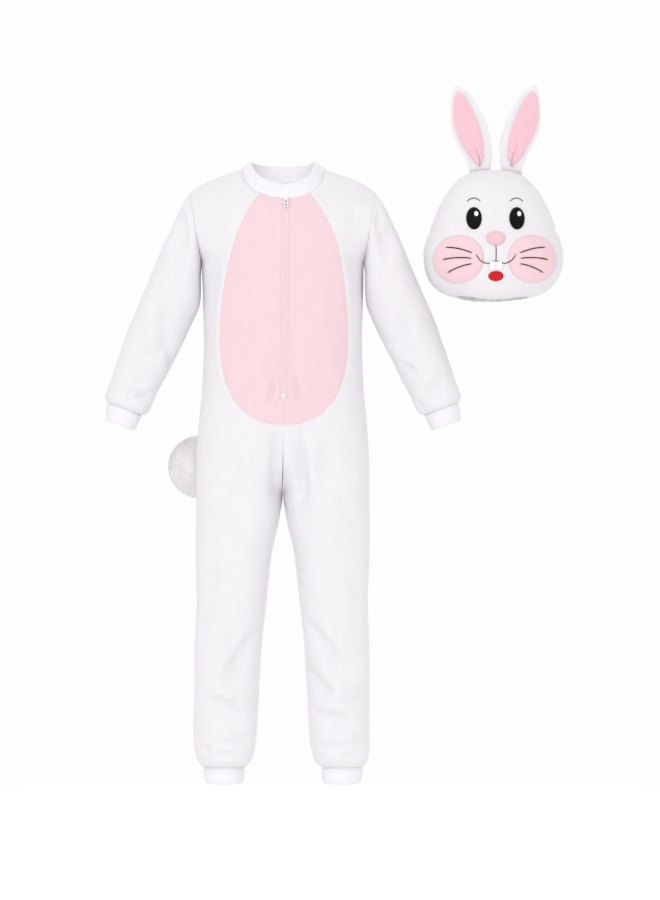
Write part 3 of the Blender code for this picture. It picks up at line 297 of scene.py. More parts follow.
# Pads sewn on the face: middle and half sizes seen from the front, height, points round and rings across
FacePad = namedtuple("FacePad", "name x z half_width half_height crown columns rings")
FACE_PADS = [
    FacePad("cheek_left", -0.0620, -0.1560, 0.0420, 0.0400, 0.0070, 64, 14),
    FacePad("cheek_right", 0.0620, -0.1560, 0.0420, 0.0400, 0.0070, 64, 14),
    FacePad("eye_left", -0.0360, -0.0880, 0.0130, 0.0190, 0.0040, 48, 10),
    FacePad("eye_right", 0.0360, -0.0880, 0.0130, 0.0190, 0.0040, 48, 10),
    FacePad("nose", 0.0000, -0.1220, 0.0160, 0.0115, 0.0080, 48, 10),
    FacePad("tongue", 0.0000, -0.1850, 0.0130, 0.0085, 0.0030, 40, 8),
]
PAD_LIFT = 0.00032      # how far above the face a pad starts
PAD_EDGE = 0.0012       # and how thick it is near its edge
# Lines sewn on the face as (x, z) places from its middle, the right ones mirrored to the left
CHIN_LINE = ((0.0, -0.1335), (0.0004, -0.1460), (0.0, -0.1590))
MOUTH_LINE = ((0.0, -0.1590), (0.0070, -0.1628), (0.0160, -0.1640), (0.0262, -0.1592), (0.0330, -0.1490))
BROW_LINE = ((0.0250, -0.0590), (0.0355, -0.0532), (0.0470, -0.0590))
WHISKERS = (
    ((0.0400, -0.1470), (0.0620, -0.1395), (0.0830, -0.1365)),
    ((0.0410, -0.1560), (0.0640, -0.1545), (0.0880, -0.1570)),
    ((0.0400, -0.1650), (0.0610, -0.1700), (0.0800, -0.1790)),
)

# Strips along the zip, as places across them and their height on the cloth
TAPE_HALF = ((0.0, 0.0001), (0.0010, 0.0), (0.0016, -0.0044), (0.0060, -0.0046))
FLAP_PROFILE = ((-0.0018, 0.0016), (-0.0015, 0.0025), (0.0, 0.0028), (0.0015, 0.0025), (0.0018, 0.0016))
PULL_DOTS = (0.62, 0.24)        # heights of the two dark dots of painted shade, as shares of the pull's


class ClothSizes(bpy.types.PropertyGroup):
    """Sizes and colours of the jumpsuit's cloth."""

    wall: FloatProperty(
        name="Cloth thickness", description="Plush fleece with its pile", default=0.0022, unit="LENGTH"
    )
    rib_wall: FloatProperty(
        name="Rib thickness", description="Doubled rib of collar and cuffs", default=0.0026, unit="LENGTH"
    )
    spacing: FloatProperty(
        name="Mesh spacing", description="Distance between the mesh's rows", default=0.0048, unit="LENGTH"
    )
    seam_dip: FloatProperty(
        name="Seam depth", description="How far the cloth turns in at a seam", default=0.0012, unit="LENGTH"
    )
    seam_reach: FloatProperty(
        name="Seam width", description="How far from a seam the cloth is back to its height",
        default=0.0036, unit="LENGTH"
    )
    crease: FloatProperty(name="Crease depth", description="Share of the creases' listed depths", default=2.9)
    pucker: FloatProperty(
        name="Gather depth", description="Depth of the gathers at the cuffs", default=0.0010, unit="LENGTH"
    )
    edging: FloatProperty(
        name="Edge stitching", description="Width of the white stitching round the belly",
        default=0.0022, unit="LENGTH"
    )
    white: StringProperty(name="White plush", description="sRGB colour", default="DFDCE0")
    pink: StringProperty(name="Pink plush", description="sRGB colour", default="E3C8CE")
    rib: StringProperty(name="Rib knit", description="sRGB colour", default="E7E5E9")
    thread: StringProperty(name="Sewing thread", description="sRGB colour", default="E9E5E8")


class ZipSizes(bpy.types.PropertyGroup):
    """Sizes and colours of the front zip."""

    tooth_pitch: FloatProperty(
        name="Coil pitch", description="Distance between two turns of the coil", default=0.0016, unit="LENGTH"
    )
    coil_width: FloatProperty(
        name="Coil width", description="Both coils together", default=0.0024, unit="LENGTH"
    )
    tape: StringProperty(name="Zip tape", description="sRGB colour", default="E9D2D8")
    ends: StringProperty(name="Tape ends", description="sRGB colour", default="F4F1F4")
    metal: StringProperty(name="Zip enamel", description="sRGB colour", default="EDEDF0")
    # Colour of the pull's dark dots: painted shade for the shadow seen through its holes
    dots: StringProperty(name="Dots on the pull", description="sRGB colour", default="3E282D")
    dot_radius: FloatProperty(
        name="Dot radius", description="Dark dots on the pull", default=0.0014, unit="LENGTH"
    )


class TailSizes(bpy.types.PropertyGroup):
    """Sizes and colour of the ball tail."""

    pile: FloatProperty(
        name="Pile length", description="Length of the fur's fibres", default=0.0034, unit="LENGTH"
    )
    fibres: IntProperty(name="Fibres", description="Number of drawn fibres", default=26000, min=0, max=30000)
    fur: StringProperty(name="Fur", description="sRGB colour", default="E4E1E1")


class HeadSizes(bpy.types.PropertyGroup):
    """Sizes and colours of the padded head."""

    wall: FloatProperty(
        name="Padded wall", description="Plush over wadding and lining", default=0.006, unit="LENGTH"
    )
    spacing: FloatProperty(
        name="Mesh spacing", description="Distance between the mesh's rows", default=0.0034, unit="LENGTH"
    )
    line: FloatProperty(
        name="Stitched line", description="Width of the lines on the face", default=0.0014, unit="LENGTH"
    )
    whisker: FloatProperty(
        name="Whisker", description="Width of a cord whisker", default=0.0018, unit="LENGTH"
    )
    ear_pink: StringProperty(name="Ear lining", description="sRGB colour", default="E6BBC5")
    cheek_pink: StringProperty(name="Cheeks", description="sRGB colour", default="E6C6CD")
    black: StringProperty(name="Black satin stitch", description="sRGB colour", default="070607")
    red: StringProperty(name="Tongue", description="sRGB colour", default="C4201F")
    felt: StringProperty(name="Teeth", description="sRGB colour", default="F0F0F0")


class StudioSizes(bpy.types.PropertyGroup):
    """Camera, lights and floor."""

    distance: FloatProperty(
        name="Camera distance", description="From the costume's front", default=6.0, unit="LENGTH"
    )
    lens: FloatProperty(name="Lens", description="Focal length in millimetres", default=141.2)
    look_x: FloatProperty(name="Look at X", description="Middle of the view", default=0.0799, unit="LENGTH")
    look_z: FloatProperty(name="Look at Z", description="Middle of the view", default=-0.4760, unit="LENGTH")
    sky: FloatProperty(name="Room light", description="Strength of the even white light", default=0.985)
    key: FloatProperty(name="Key light", description="Large light from the front", default=44.0, unit="POWER")
    side: FloatProperty(name="Side light", description="Soft light from the side", default=11.0, unit="POWER")
    back: FloatProperty(
        name="Back light", description="Large light behind the costume", default=34.0, unit="POWER"
    )
    card: FloatProperty(
        name="Neck card", description="Light from a card in the neck", default=0.045, unit="POWER"
    )
    leg_card: FloatProperty(
        name="Leg cards", description="Light from each card between the legs", default=0.009, unit="POWER"
    )
    floor_drop: FloatProperty(
        name="Floor drop", description="Floor below the ankle cuffs", default=0.10, unit="LENGTH"
    )
    floor: StringProperty(name="Floor", description="sRGB colour", default="FDFDFD")


def linear(hex_colour):
    """An sRGB hex value as the linear colour that the shaders take."""
    values = [int(hex_colour[i:i + 2], 16) / 255 for i in (0, 2, 4)]
    return tuple(v / 12.92 if v <= 0.04045 else ((v + 0.055) / 1.055) ** 2.4 for v in values) + (1.0,)


def add_node(tree, kind, settings=None, links=None):
    """Adds a node, sets its inputs or attributes by name, and links its inputs."""
    made = tree.nodes.new(kind)
    for name, value in (settings or {}).items():
        if name in made.inputs:
            made.inputs[name].default_value = value
        else:
            setattr(made, name, value)
    for name, source in (links or {}).items():
        tree.links.new(source, made.inputs[name])
    return made


def start_material(name, colour, roughness, uv_map=None, **sockets):
    """A material whose shader has its plain values set, and the places for its patterns."""
    made = bpy.data.materials.new(name)
    made.use_nodes = True
    tree = made.node_tree
    shader = tree.nodes["Principled BSDF"]
    shader.inputs["Base Color"].default_value = linear(colour)
    shader.inputs["Roughness"].default_value = roughness
    for socket, value in sockets.items():
        shader.inputs[socket.replace("_", " ")].default_value = value
    made.diffuse_color = linear(colour)
    if uv_map:
        places = add_node(tree, "ShaderNodeUVMap", {"uv_map": uv_map}).outputs["UV"]
    else:
        places = add_node(tree, "ShaderNodeTexCoord").outputs["Object"]
    return made, tree, shader, places


def relief(tree, shader, *layers):
    """Raises the surface by patterns, each over the one before: kind, settings, places, strength, height."""
    under = {}
    for kind, settings, places, strength, height in layers:
        pattern = add_node(tree, kind, settings, {"Vector": places})
        bump = add_node(
            tree, "ShaderNodeBump", {"Strength": strength, "Distance": height},
            {"Height": pattern.outputs["Fac"], **under},
        )
        under = {"Normal": bump.outputs["Normal"]}
    tree.links.new(bump.outputs["Normal"], shader.inputs["Normal"])
    return pattern


def shade(tree, shader, colour, pattern, start, end, low, high):
    """Changes a colour's depth from low to high times its value, while the pattern goes from start to end."""
    share = add_node(
        tree, "ShaderNodeMapRange", {"From Min": start, "From Max": end, "To Min": low, "To Max": high},
        {"Value": pattern.outputs["Fac"]},
    )
    mix = add_node(
        tree, "ShaderNodeVectorMath", {"operation": "SCALE", "Vector": linear(colour)[:3]},
        {"Scale": share.outputs["Result"]},
    )
    tree.links.new(mix.outputs["Vector"], shader.inputs["Base Color"])


def tint(tree, shader, colour, places, scale, low, high):
    """Cloudy change of a colour's depth, from low to high times its value."""
    cloud = add_node(
        tree, "ShaderNodeTexNoise", {"Scale": scale, "Detail": 3.0, "Roughness": 0.55}, {"Vector": places}
    )
    shade(tree, shader, colour, cloud, 0.3, 0.7, low, high)


WAVE = 0.3142           # the period in metres of a wave texture of scale 1


def plush(name, colour):
    """Brushed and sheared polyester plush: a matte, soft white that is finely mottled by its short pile."""
    made, tree, shader, places = start_material(
        name, colour, 0.92, IOR=1.46, Sheen_Weight=0.05, Sheen_Roughness=0.55, Specular_IOR_Level=0.2,
        Subsurface_Weight=0.35, Subsurface_Radius=(1.0, 0.92, 0.94), Subsurface_Scale=0.004
    )
    # Upright strokes of some 10 mm in which the pile leans one way, and pile tufts of about 1.1 mm
    mapping = add_node(tree, "ShaderNodeMapping", {"Scale": (1.0, 1.0, 0.22)}, {"Vector": places})
    upright = mapping.outputs["Vector"]
    strokes = {"Scale": 110.0, "Detail": 2.0, "Roughness": 0.55}
    tufts = {"Scale": 0.5 / 0.0011, "Detail": 2.0, "Roughness": 0.6}
    relief(
        tree, shader,
        ("ShaderNodeTexNoise", strokes, upright, 0.26, 0.00084),
        ("ShaderNodeTexNoise", tufts, places, 0.55, 0.00035),
    )
    tint(tree, shader, colour, upright, 90.0, 0.980, 1.010)
    return made


def rib_knit(name, colour):
    """Fine 1x1 rib of cotton and elastane: matte ribs with soft shade between them."""
    made, tree, shader, knit = start_material(
        name, colour, 0.88, uv_map="knit", IOR=1.5, Sheen_Weight=0.08, Sheen_Roughness=0.5,
        Specular_IOR_Level=0.25
    )
    rows = {"wave_type": "BANDS", "bands_direction": "Y", "Scale": WAVE / 0.0011}
    ribs = {"wave_type": "BANDS", "bands_direction": "X", "Scale": WAVE / RIB_PITCH}
    pattern = relief(
        tree, shader,
        ("ShaderNodeTexWave", rows, knit, 0.25, 0.0002),
        ("ShaderNodeTexWave", ribs, knit, 0.5, 0.0005),
    )
    shade(tree, shader, colour, pattern, 0.0, 0.5, 0.965, 1.0)
    return made


def faux_fur(name, colour):
    """Modacrylic fur backing and fibres: warm grey-white, matte, mottled where tufts part."""
    made, tree, shader, places = start_material(
        name, colour, 0.85, IOR=1.5, Sheen_Weight=0.15, Sheen_Roughness=0.5, Specular_IOR_Level=0.2
    )
    tufts = {"Scale": 380.0, "Detail": 3.0, "Roughness": 0.6}
    relief(tree, shader, ("ShaderNodeTexNoise", tufts, places, 0.12, 0.0006))
    tint(tree, shader, colour, places, 120.0, 0.985, 1.012)
    return made


def satin_stitch(name, colour):
    """Embroidery in viscose thread: parallel threads of 0.4 mm with a silky gloss."""
    made, tree, shader, places = start_material(name, colour, 0.62, IOR=1.5, Specular_IOR_Level=0.12)
    # Thread of 0.4 mm drawn as 0.8 mm, which is as fine as shows
    threads = {
        "wave_type": "BANDS", "bands_direction": "X", "Scale": WAVE / 0.0008, "Distortion": 0.6, "Detail": 1.0
    }
    relief(tree, shader, ("ShaderNodeTexWave", threads, places, 0.4, 0.0003))
    tint(tree, shader, colour, places, 300.0, 0.85, 1.1)
    return made


def satin_thread(name, colour):
    """White polyester embroidery thread, sewn close together: bright, fine and a little silky."""
    made, tree, shader, places = start_material(name, colour, 0.6, IOR=1.5, Specular_IOR_Level=0.25)
    tint(tree, shader, colour, places, 500.0, 0.97, 1.0)
    return made


def felt(name, colour):
    """Pressed polyester felt: dead matte with a faint cloud of fibres."""
    made, tree, shader, places = start_material(name, colour, 0.95, IOR=1.46, Specular_IOR_Level=0.2)
    fibres = {"Scale": 900.0, "Detail": 3.0, "Roughness": 0.7}
    relief(tree, shader, ("ShaderNodeTexNoise", fibres, places, 0.4, 0.0003))
    tint(tree, shader, colour, places, 200.0, 0.95, 1.02)
    return made


def woven_tape(name, colour):
    """Woven polyester tape: fine twill of 0.7 mm ribs, slightly silky."""
    made, tree, shader, places = start_material(name, colour, 0.7, IOR=1.5, Specular_IOR_Level=0.35)
    twill = {"wave_type": "BANDS", "bands_direction": "DIAGONAL", "Scale": WAVE / 0.0007}
    relief(tree, shader, ("ShaderNodeTexWave", twill, places, 0.5, 0.0002))
    tint(tree, shader, colour, places, 150.0, 0.96, 1.02)
    return made


def nylon_coil(name, colour):
    """Extruded nylon monofilament: smooth, a little glossy and slightly clear."""
    made, tree, shader, places = start_material(name, colour, 0.32, IOR=1.53, Coat_Weight=0.1)
    tint(tree, shader, colour, places, 250.0, 0.95, 1.03)
    return made


def enamelled_zinc(name, colour):
    """Die-cast zinc under baked enamel: an even, glossy skin with soft orange peel."""
    made, tree, shader, places = start_material(
        name, colour, 0.28, IOR=1.52, Coat_Weight=0.4, Coat_Roughness=0.12
    )
    relief(tree, shader, ("ShaderNodeTexNoise", {"Scale": 700.0, "Detail": 1.0}, places, 0.12, 0.0001))
    tint(tree, shader, colour, places, 400.0, 0.97, 1.01)
    return made


def studio_floor(name, colour):
    """Matte white vinyl: pale and even, with faint scuffs."""
    made, tree, shader, places = start_material(name, colour, 0.8, IOR=1.5, Specular_IOR_Level=0.2)
    tint(tree, shader, colour, places, 3.0, 0.99, 1.0)
    return made


def kept_material(maker, name, colour):
    """The material of that name, made once."""
    return bpy.data.materials.get(name) or maker(name, colour)


def ramp(value):
    """The value, held between 0 and 1."""
    return np.clip(value, 0.0, 1.0)


def bell(away, reach):
    """1 where away is 0, and fading to 0 beyond the reach."""
    return np.exp(-((away / reach) ** 2))


def blend(a, b, share):
    return a + (b - a) * share


def unit(vectors):
    return vectors / np.maximum(np.linalg.norm(vectors, axis=-1, keepdims=True), 1e-12)


def round_off(value):
    """Sine or cosine turned from an ellipse's to the fuller section's."""
    return np.abs(value) ** (2.0 / FULLNESS)


def spread(count, gather):
    """Places from 0 to 1, closer together at both ends."""
    t = np.linspace(0.0, 1.0, count)
    return t - gather * np.sin(2 * math.pi * t) / (2 * math.pi)


def lengths_along(points):
    """Distance from the first point to each, walked through the points."""
    return np.cumsum([0.0, *np.linalg.norm(np.diff(points, axis=0), axis=-1)])


def cubic(values, slopes, old, new):
    """A curve through rows of values with the given slopes, read at new places."""
    shape = (-1,) + (1,) * (values.ndim - 1)
    i = np.clip(np.searchsorted(old, new, side="right") - 1, 0, len(old) - 2)
    step = (old[i + 1] - old[i]).reshape(shape)
    t = (new - old[i]).reshape(shape) / step
    return (
        values[i] * (1 + 2 * t) * (1 - t) ** 2 + slopes[i] * step * t * (1 - t) ** 2
        + values[i + 1] * t * t * (3 - 2 * t) + slopes[i + 1] * step * t * t * (t - 1)
    )


def through(values, old, new):
    """A smooth curve through rows of values that never overshoots, read at new places."""
    values, old = np.asarray(values, float), np.asarray(old, float)
    secants = np.diff(values, axis=0) / np.diff(old).reshape((-1,) + (1,) * (values.ndim - 1))
    before, after = secants[:-1], secants[1:]
    same = before * after > 0.0
    inner = np.where(same, 2.0 * before * after / np.where(same, before + after, 1.0), 0.0)
    slopes = np.concatenate([secants[:1], inner, secants[-1:]])
    return cubic(values, slopes, old, np.clip(np.asarray(new, float), old[0], old[-1]))


def curve(table, name, z):
    """A column of a table at heights."""
    return through([getattr(row, name) for row in table], [-row.z for row in table], -np.atleast_1d(z))


def finer(rings, spacing):
    """The same tube with rings as close as the spacing."""
    rings = np.array(rings, float)
    lengths = np.cumsum([0.0, *np.linalg.norm(np.diff(rings, axis=0), axis=-1).mean(axis=1)])
    places = np.linspace(0.0, lengths[-1], max(int(lengths[-1] / spacing), 4))
    return through(rings, lengths, places)


def walked(grid, axis):
    """Distance walked over the grid along an axis, from its start and from its end."""
    steps = np.linalg.norm(np.diff(grid, axis=axis), axis=-1)
    pad = [(0, 0), (0, 0)]
    pad[axis] = (1, 0)
    from_start = np.cumsum(np.pad(steps, pad), axis=axis)
    whole = from_start[:, -1:] if axis == 1 else from_start[-1:, :]
    return from_start, whole - from_start


def grid_normals(grid, wraps, middle=None):
    """Outward directions of a grid of points, rows by columns; wraps says that the columns close a tube."""
    if wraps:
        across = np.roll(grid, -1, axis=1) - np.roll(grid, 1, axis=1)
    else:
        across = np.gradient(grid, axis=1)
    normals = unit(np.cross(across, np.gradient(grid, axis=0)))
    outward = grid - (grid.mean(axis=1, keepdims=True) if middle is None else np.asarray(middle))
    outward[:, :, 2] = 0.0 if middle is None else outward[:, :, 2]
    return -normals if np.sum(normals * outward) < 0.0 else normals


def lean_at(z):
    """The front line stands a little to the right at the neck and comes back to the middle at the crotch."""
    return ZIP_LEAN * ramp((z - CROTCH_Z) / (-NECK_DROP[FRONT] - CROTCH_Z))


def centre_gap(z, face):
    """Half the opening at the middle: the zip's slot above its stop, else a seam."""
    return NECK_SLOT[face] * ramp((z - ZIP_STOP_Z + SLOT_FADE) / SLOT_FADE)


def lower_grid(z, share, face):
    """Points below the underarm on the right side; share runs from the middle or inseam to the side seam."""
    share = share[None, :]
    depth_name = "front" if face == FRONT else "back"
    side, depth, inner, split = (
        curve(BODY, name, z)[:, None] for name in ("side", depth_name, "inner", "split")
    )
    inner = inner * ramp((LEGS_PART_Z - z[:, None]) / LEGS_PART_REACH)
    middle = centre_gap(z, face)[:, None]
    turn = share * math.pi / 2
    body_x = middle + (side - middle) * round_off(np.sin(turn))
    body_y = depth * round_off(np.cos(turn))
    wave = np.cos(share * math.pi)
    leg_x = (side + inner) / 2 - np.sign(wave) * round_off(wave) * (side - inner) / 2
    leg_y = depth * round_off(np.sin(share * math.pi))
    x, y = blend(body_x, leg_x, split), face * blend(body_y, leg_y, split)
    return np.stack([x, y, np.broadcast_to(z[:, None], x.shape)], axis=-1)


def top_edge(share, face):
    """The panel's top edge: the neck seam, then the shoulder seam."""
    turn = ramp(share / NECK_SHARE) * math.pi / 2
    along = ramp((share - NECK_SHARE) / (1.0 - NECK_SHARE))
    middle = NECK_SLOT[face]
    neck = np.stack([
        middle + (NECK_HALF_WIDTH - middle) * np.sin(turn),
        face * NECK_DEPTH[face] * np.cos(turn),
        -NECK_DROP[face] * np.cos(turn),
    ], axis=-1)
    shoulder = np.stack([
        blend(NECK_HALF_WIDTH, SHOULDER_HALF_WIDTH, along),
        np.zeros_like(share),
        -SHOULDER_DROP * along ** 1.15,
    ], axis=-1)
    return np.where((share <= NECK_SHARE)[:, None], neck, shoulder)


def armhole_y(rise, face):
    return ARMHOLE_DEPTH[face] * np.maximum(np.sin(math.pi * rise), 0.0) ** ARMHOLE_ROUNDNESS


def armhole_x(z):
    """The armhole lies in one plane, from the shoulder's end in to the underarm."""
    return blend(BODY[0].side, SHOULDER_HALF_WIDTH, (z - UNDERARM_Z) / (-SHOULDER_DROP - UNDERARM_Z))


def upper_grid(height, share, face):
    """Points above the underarm; height runs from 1 at the top edge to 0."""
    height = height[:, None]
    top = top_edge(share, face)[None]
    rise, reach = np.sin(height * math.pi / 2), np.cos(height * math.pi / 2)
    depth = BODY[0].front if face == FRONT else BODY[0].back
    edge = np.minimum(armhole_y(rise, face) / np.maximum(reach, 0.05) / depth, 0.9)
    widest = np.where(rise < 0.999, np.arccos(edge), math.pi / 2)
    angle = share[None, :] * widest
    # The section turns from the chest's full one to the neck's ellipse over the lowest quarter
    power = blend(2.0 / FULLNESS, 1.0, np.minimum(height * 4.0, 1.0))
    chest_x = blend(NECK_SLOT[face], BODY[0].side, ramp(np.sin(angle) / np.sin(widest)) ** power)
    chest_y = depth * np.maximum(np.cos(angle), 0.0) ** power
    return np.stack([
        blend(chest_x, top[:, :, 0], rise),
        face * blend(np.abs(top[:, :, 1]), chest_y, reach),
        blend(UNDERARM_Z, top[:, :, 2], rise),
    ], axis=-1)


def fold_height(folds, x, z):
    """How far the cloth stands out or in, from the large folds near each point."""
    total = np.zeros_like(x)
    for fold in folds:
        run_x, run_z = fold.x1 - fold.x0, fold.z1 - fold.z0
        along = ((x - fold.x0) * run_x + (z - fold.z0) * run_z) / (run_x ** 2 + run_z ** 2)
        held = ramp(along)
        away = np.hypot(x - fold.x0 - held * run_x, z - fold.z0 - held * run_z)
        ends = np.sin(math.pi * ramp(0.15 + 0.7 * along))
        total += FOLD_GAIN * fold.height * ends * bell(away, fold.width)
    return total


def crease_height(creases, x, z):
    """The finer creases: a narrow bowed trough that widens along its way, with a soft ridge beside it."""
    total = np.zeros_like(x)
    for crease in creases:
        run_x, run_z = crease.x1 - crease.x0, crease.z1 - crease.z0
        length = math.hypot(run_x, run_z)
        along = ((x - crease.x0) * run_x + (z - crease.z0) * run_z) / length ** 2
        held = ramp(along)
        aside = ((x - crease.x0) * run_z - (z - crease.z0) * run_x) / length
        aside = aside - crease.bow * 4 * held * (1 - held)
        past = (along - held) * length
        width = CREASE_GAIN * crease.width * (0.7 + 0.6 * held)
        ridge_away = np.hypot(aside - math.copysign(1.7, crease.bow) * width, past)
        ends = np.sin(math.pi * ramp(0.08 + 0.84 * along))
        shape = bell(np.hypot(aside, past), width) - 0.55 * bell(ridge_away, 1.3 * width)
        total += crease.height * ends * shape
    return total * bpy.context.scene.costume_cloth.crease


def soft_unevenness(points, size, height, seed):
    """Slow changes in height over the cloth, as filled-out cloth has."""
    shift = Vector((seed * 3.7, seed * 1.3, seed * 2.1))
    values = [noise.noise(Vector(p) / size + shift) for p in points.reshape(-1, 3)]
    return np.array(values).reshape(points.shape[:-1]) * height


def gathers(walk, pitch, wobble, rate):
    """Small uneven waves along a seam, one for each pitch."""
    return np.cos(2 * math.pi * walk / pitch + wobble * np.sin(walk * rate))


def seam_turn(away):
    """How far the cloth turns in at a distance from its seam, with a slight swell behind it."""
    sizes = bpy.context.scene.costume_cloth
    swell = bell(away - 2.6 * sizes.seam_reach, 1.5 * sizes.seam_reach)
    return -sizes.seam_dip * bell(away, sizes.seam_reach) + 0.22 * sizes.seam_dip * swell


def surface_build(grid, wraps=False, knit=None):
    """A mesh of a grid of points; knit gives its texture places across and along, in metres."""
    build = bmesh.new()
    rows, columns = grid.shape[:2]
    verts = [[build.verts.new(p) for p in row] for row in grid]
    layer = build.loops.layers.uv.new("knit") if knit else None
    for r in range(rows - 1):
        for c in range(columns if wraps else columns - 1):
            n = (c + 1) % columns
            face = build.faces.new((verts[r][c], verts[r][n], verts[r + 1][n], verts[r + 1][c]))
            if knit:
                for loop, (i, j) in zip(face.loops, ((r, c), (r, c + 1), (r + 1, c + 1), (r + 1, c))):
                    loop[layer].uv = (knit[0][j], knit[1][i])
    bmesh.ops.remove_doubles(build, verts=build.verts, dist=2e-6)
    return build


def closed(build):
    """The mesh with its open ends filled and its faces looking out."""
    bmesh.ops.holes_fill(build, edges=[edge for edge in build.edges if edge.is_boundary], sides=0)
    bmesh.ops.recalc_face_normals(build, faces=build.faces)
    return build


def outwards(build, face):
    """The mesh with its faces turned to the front or back."""
    build.normal_update()
    if sum(f.normal.y * f.calc_area() for f in build.faces) * face < 0.0:
        bmesh.ops.reverse_faces(build, faces=build.faces)
        build.normal_update()
    return build


def tube_build(grid, normals, wall, around=None, wraps=True):
    """A tube or band of cloth with rounded edges: outer face, rims and inner face in one closed mesh."""
    along = unit(np.gradient(grid, axis=0))
    rims = {}
    for end, way in ((-1, 1), (0, -1)):
        inward, onward = normals[end] * wall / 2, way * along[end] * wall * 0.45
        rims[end] = [
            grid[end] - inward * (1 - math.cos(turn)) + onward * math.sin(turn)
            for turn in (math.pi / 4, math.pi / 2, math.pi * 3 / 4)
        ]
    inner = grid - normals * wall
    whole = np.array([*grid, *rims[-1], *inner[::-1], *rims[0][::-1], grid[0]])
    knit = None if around is None else (around, lengths_along(whole[:, 0]))
    return closed(surface_build(whole, wraps, knit))


def surface_tree(name):
    """A piece's surface, ready for rays."""
    build = bmesh.new()
    build.from_mesh(bpy.data.objects[name].data)
    tree = BVHTree.FromBMesh(build)
    build.free()
    return tree


def laid_on(names, places, lift):
    """Points at (x, z) places, laid from the front on the outermost of the named pieces."""
    trees = [surface_tree(name) for name in names]
    points = []
    for x, z in places:
        hits = [tree.ray_cast(Vector((x, -1.0, z)), Vector((0.0, 1.0, 0.0))) for tree in trees]
        hits = [hit for hit in hits if hit[0] is not None]
        if not hits:
            raise RuntimeError(f"nothing to lay a line on at {x:.3f}, {z:.3f}")
        nearest = min(hits, key=lambda hit: hit[0].y)
        normal = nearest[1] if nearest[1].y < 0 else -nearest[1]
        points.append(nearest[0] + normal * lift)
    return np.array(points)


def add_rod(build, centres, sizes, sides, across, up):
    """Adds a round rod to a mesh: a ring of each size at its centre, and closed ends."""
    angles = [2 * math.pi * i / sides for i in range(sides)]
    rings = [
        [build.verts.new(centre + (a * math.cos(angle) + b * math.sin(angle)) * size) for angle in angles]
        for centre, size, a, b in zip(centres, sizes, across, up)
    ]
    for low, high in zip(rings, rings[1:]):
        for i in range(sides):
            n = (i + 1) % sides
            build.faces.new((low[i], low[n], high[n], high[i]))
    build.faces.new(list(reversed(rings[0])))
    build.faces.new(rings[-1])


def add_bar(build, start, end, radius, sides):
    """Adds a short straight rod with rounded ends to a mesh."""
    start, end = Vector(start), Vector(end)
    along = (end - start).normalized()
    aside = Vector((0.0, 1.0, 0.0)) if abs(along.y) < 0.9 else Vector((1.0, 0.0, 0.0))
    across = along.cross(aside).normalized()
    centres = [start.lerp(end, share) for share in (0.0, 0.12, 0.88, 1.0)]
    sizes = [radius * size for size in (0.45, 1.0, 1.0, 0.45)]
    add_rod(build, centres, sizes, sides, [across] * 4, [across.cross(along)] * 4)


def add_line(build, points, radius):
    """Adds a round line through points to a mesh, with tapered ends."""
    runs = unit(np.gradient(points, axis=0))
    across = unit(np.cross(runs, (0.0, 1.0, 0.0)))
    sizes = np.full(len(points), radius)
    sizes[[0, -1]] *= 0.35
    sizes[[1, -2]] *= 0.8
    add_rod(build, points, sizes, 8, across, np.cross(across, runs))


def smooth_line(places, side, count):
    """A smooth line through a few (x, z) places on the face, mirrored to its side."""
    places = np.array(places) * (side, 1.0)
    lengths = lengths_along(places)
    slopes = np.gradient(places, lengths, axis=0, edge_order=2)
    return cubic(places, slopes, lengths, np.linspace(0.0, lengths[-1], count)) + (HEAD_X, 0.0)


def add_stitches(build, points, length, gap, radius):
    """Adds a row of stitches along a line of points."""
    walk = lengths_along(points)
    start = gap
    while start + length < walk[-1]:
        ends = [[np.interp(at, walk, column) for column in points.T] for at in (start, start + length)]
        add_bar(build, *ends, radius, 5)
        start += length + gap


def place(name, build, material, *nodes, slot, body="costume"):
    """Makes the piece's object, rides it on its body and lets it stand for its CAD nodes."""
    mesh = bpy.data.meshes.new(name)
    build.to_mesh(mesh)
    build.free()
    mesh.materials.append(material)
    mesh.shade_smooth()
    made = bpy.data.objects.new(name, mesh)
    bpy.context.scene.collection.objects.link(made)
    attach(made, body)
    if nodes:
        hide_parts(*nodes)
    return made


def place_shell(name, build, face, wall, material, *nodes, slot):
    """Makes a piece whose mesh is its outer face, and gives it its thickness behind that."""
    made = place(name, outwards(build, face), material, *nodes, slot=slot)
    shell = made.modifiers.new("wall", "SOLIDIFY")
    shell.thickness = wall
    shell.offset = -1.0
    evaluated = made.evaluated_get(bpy.context.evaluated_depsgraph_get())
    mesh = bpy.data.meshes.new_from_object(evaluated)
    old = made.data
    made.modifiers.clear()
    made.data = mesh
    bpy.data.meshes.remove(old)
    mesh.name = name
    mesh.shade_smooth()
    mesh.set_sharp_from_angle(angle=math.radians(55.0))
    return made


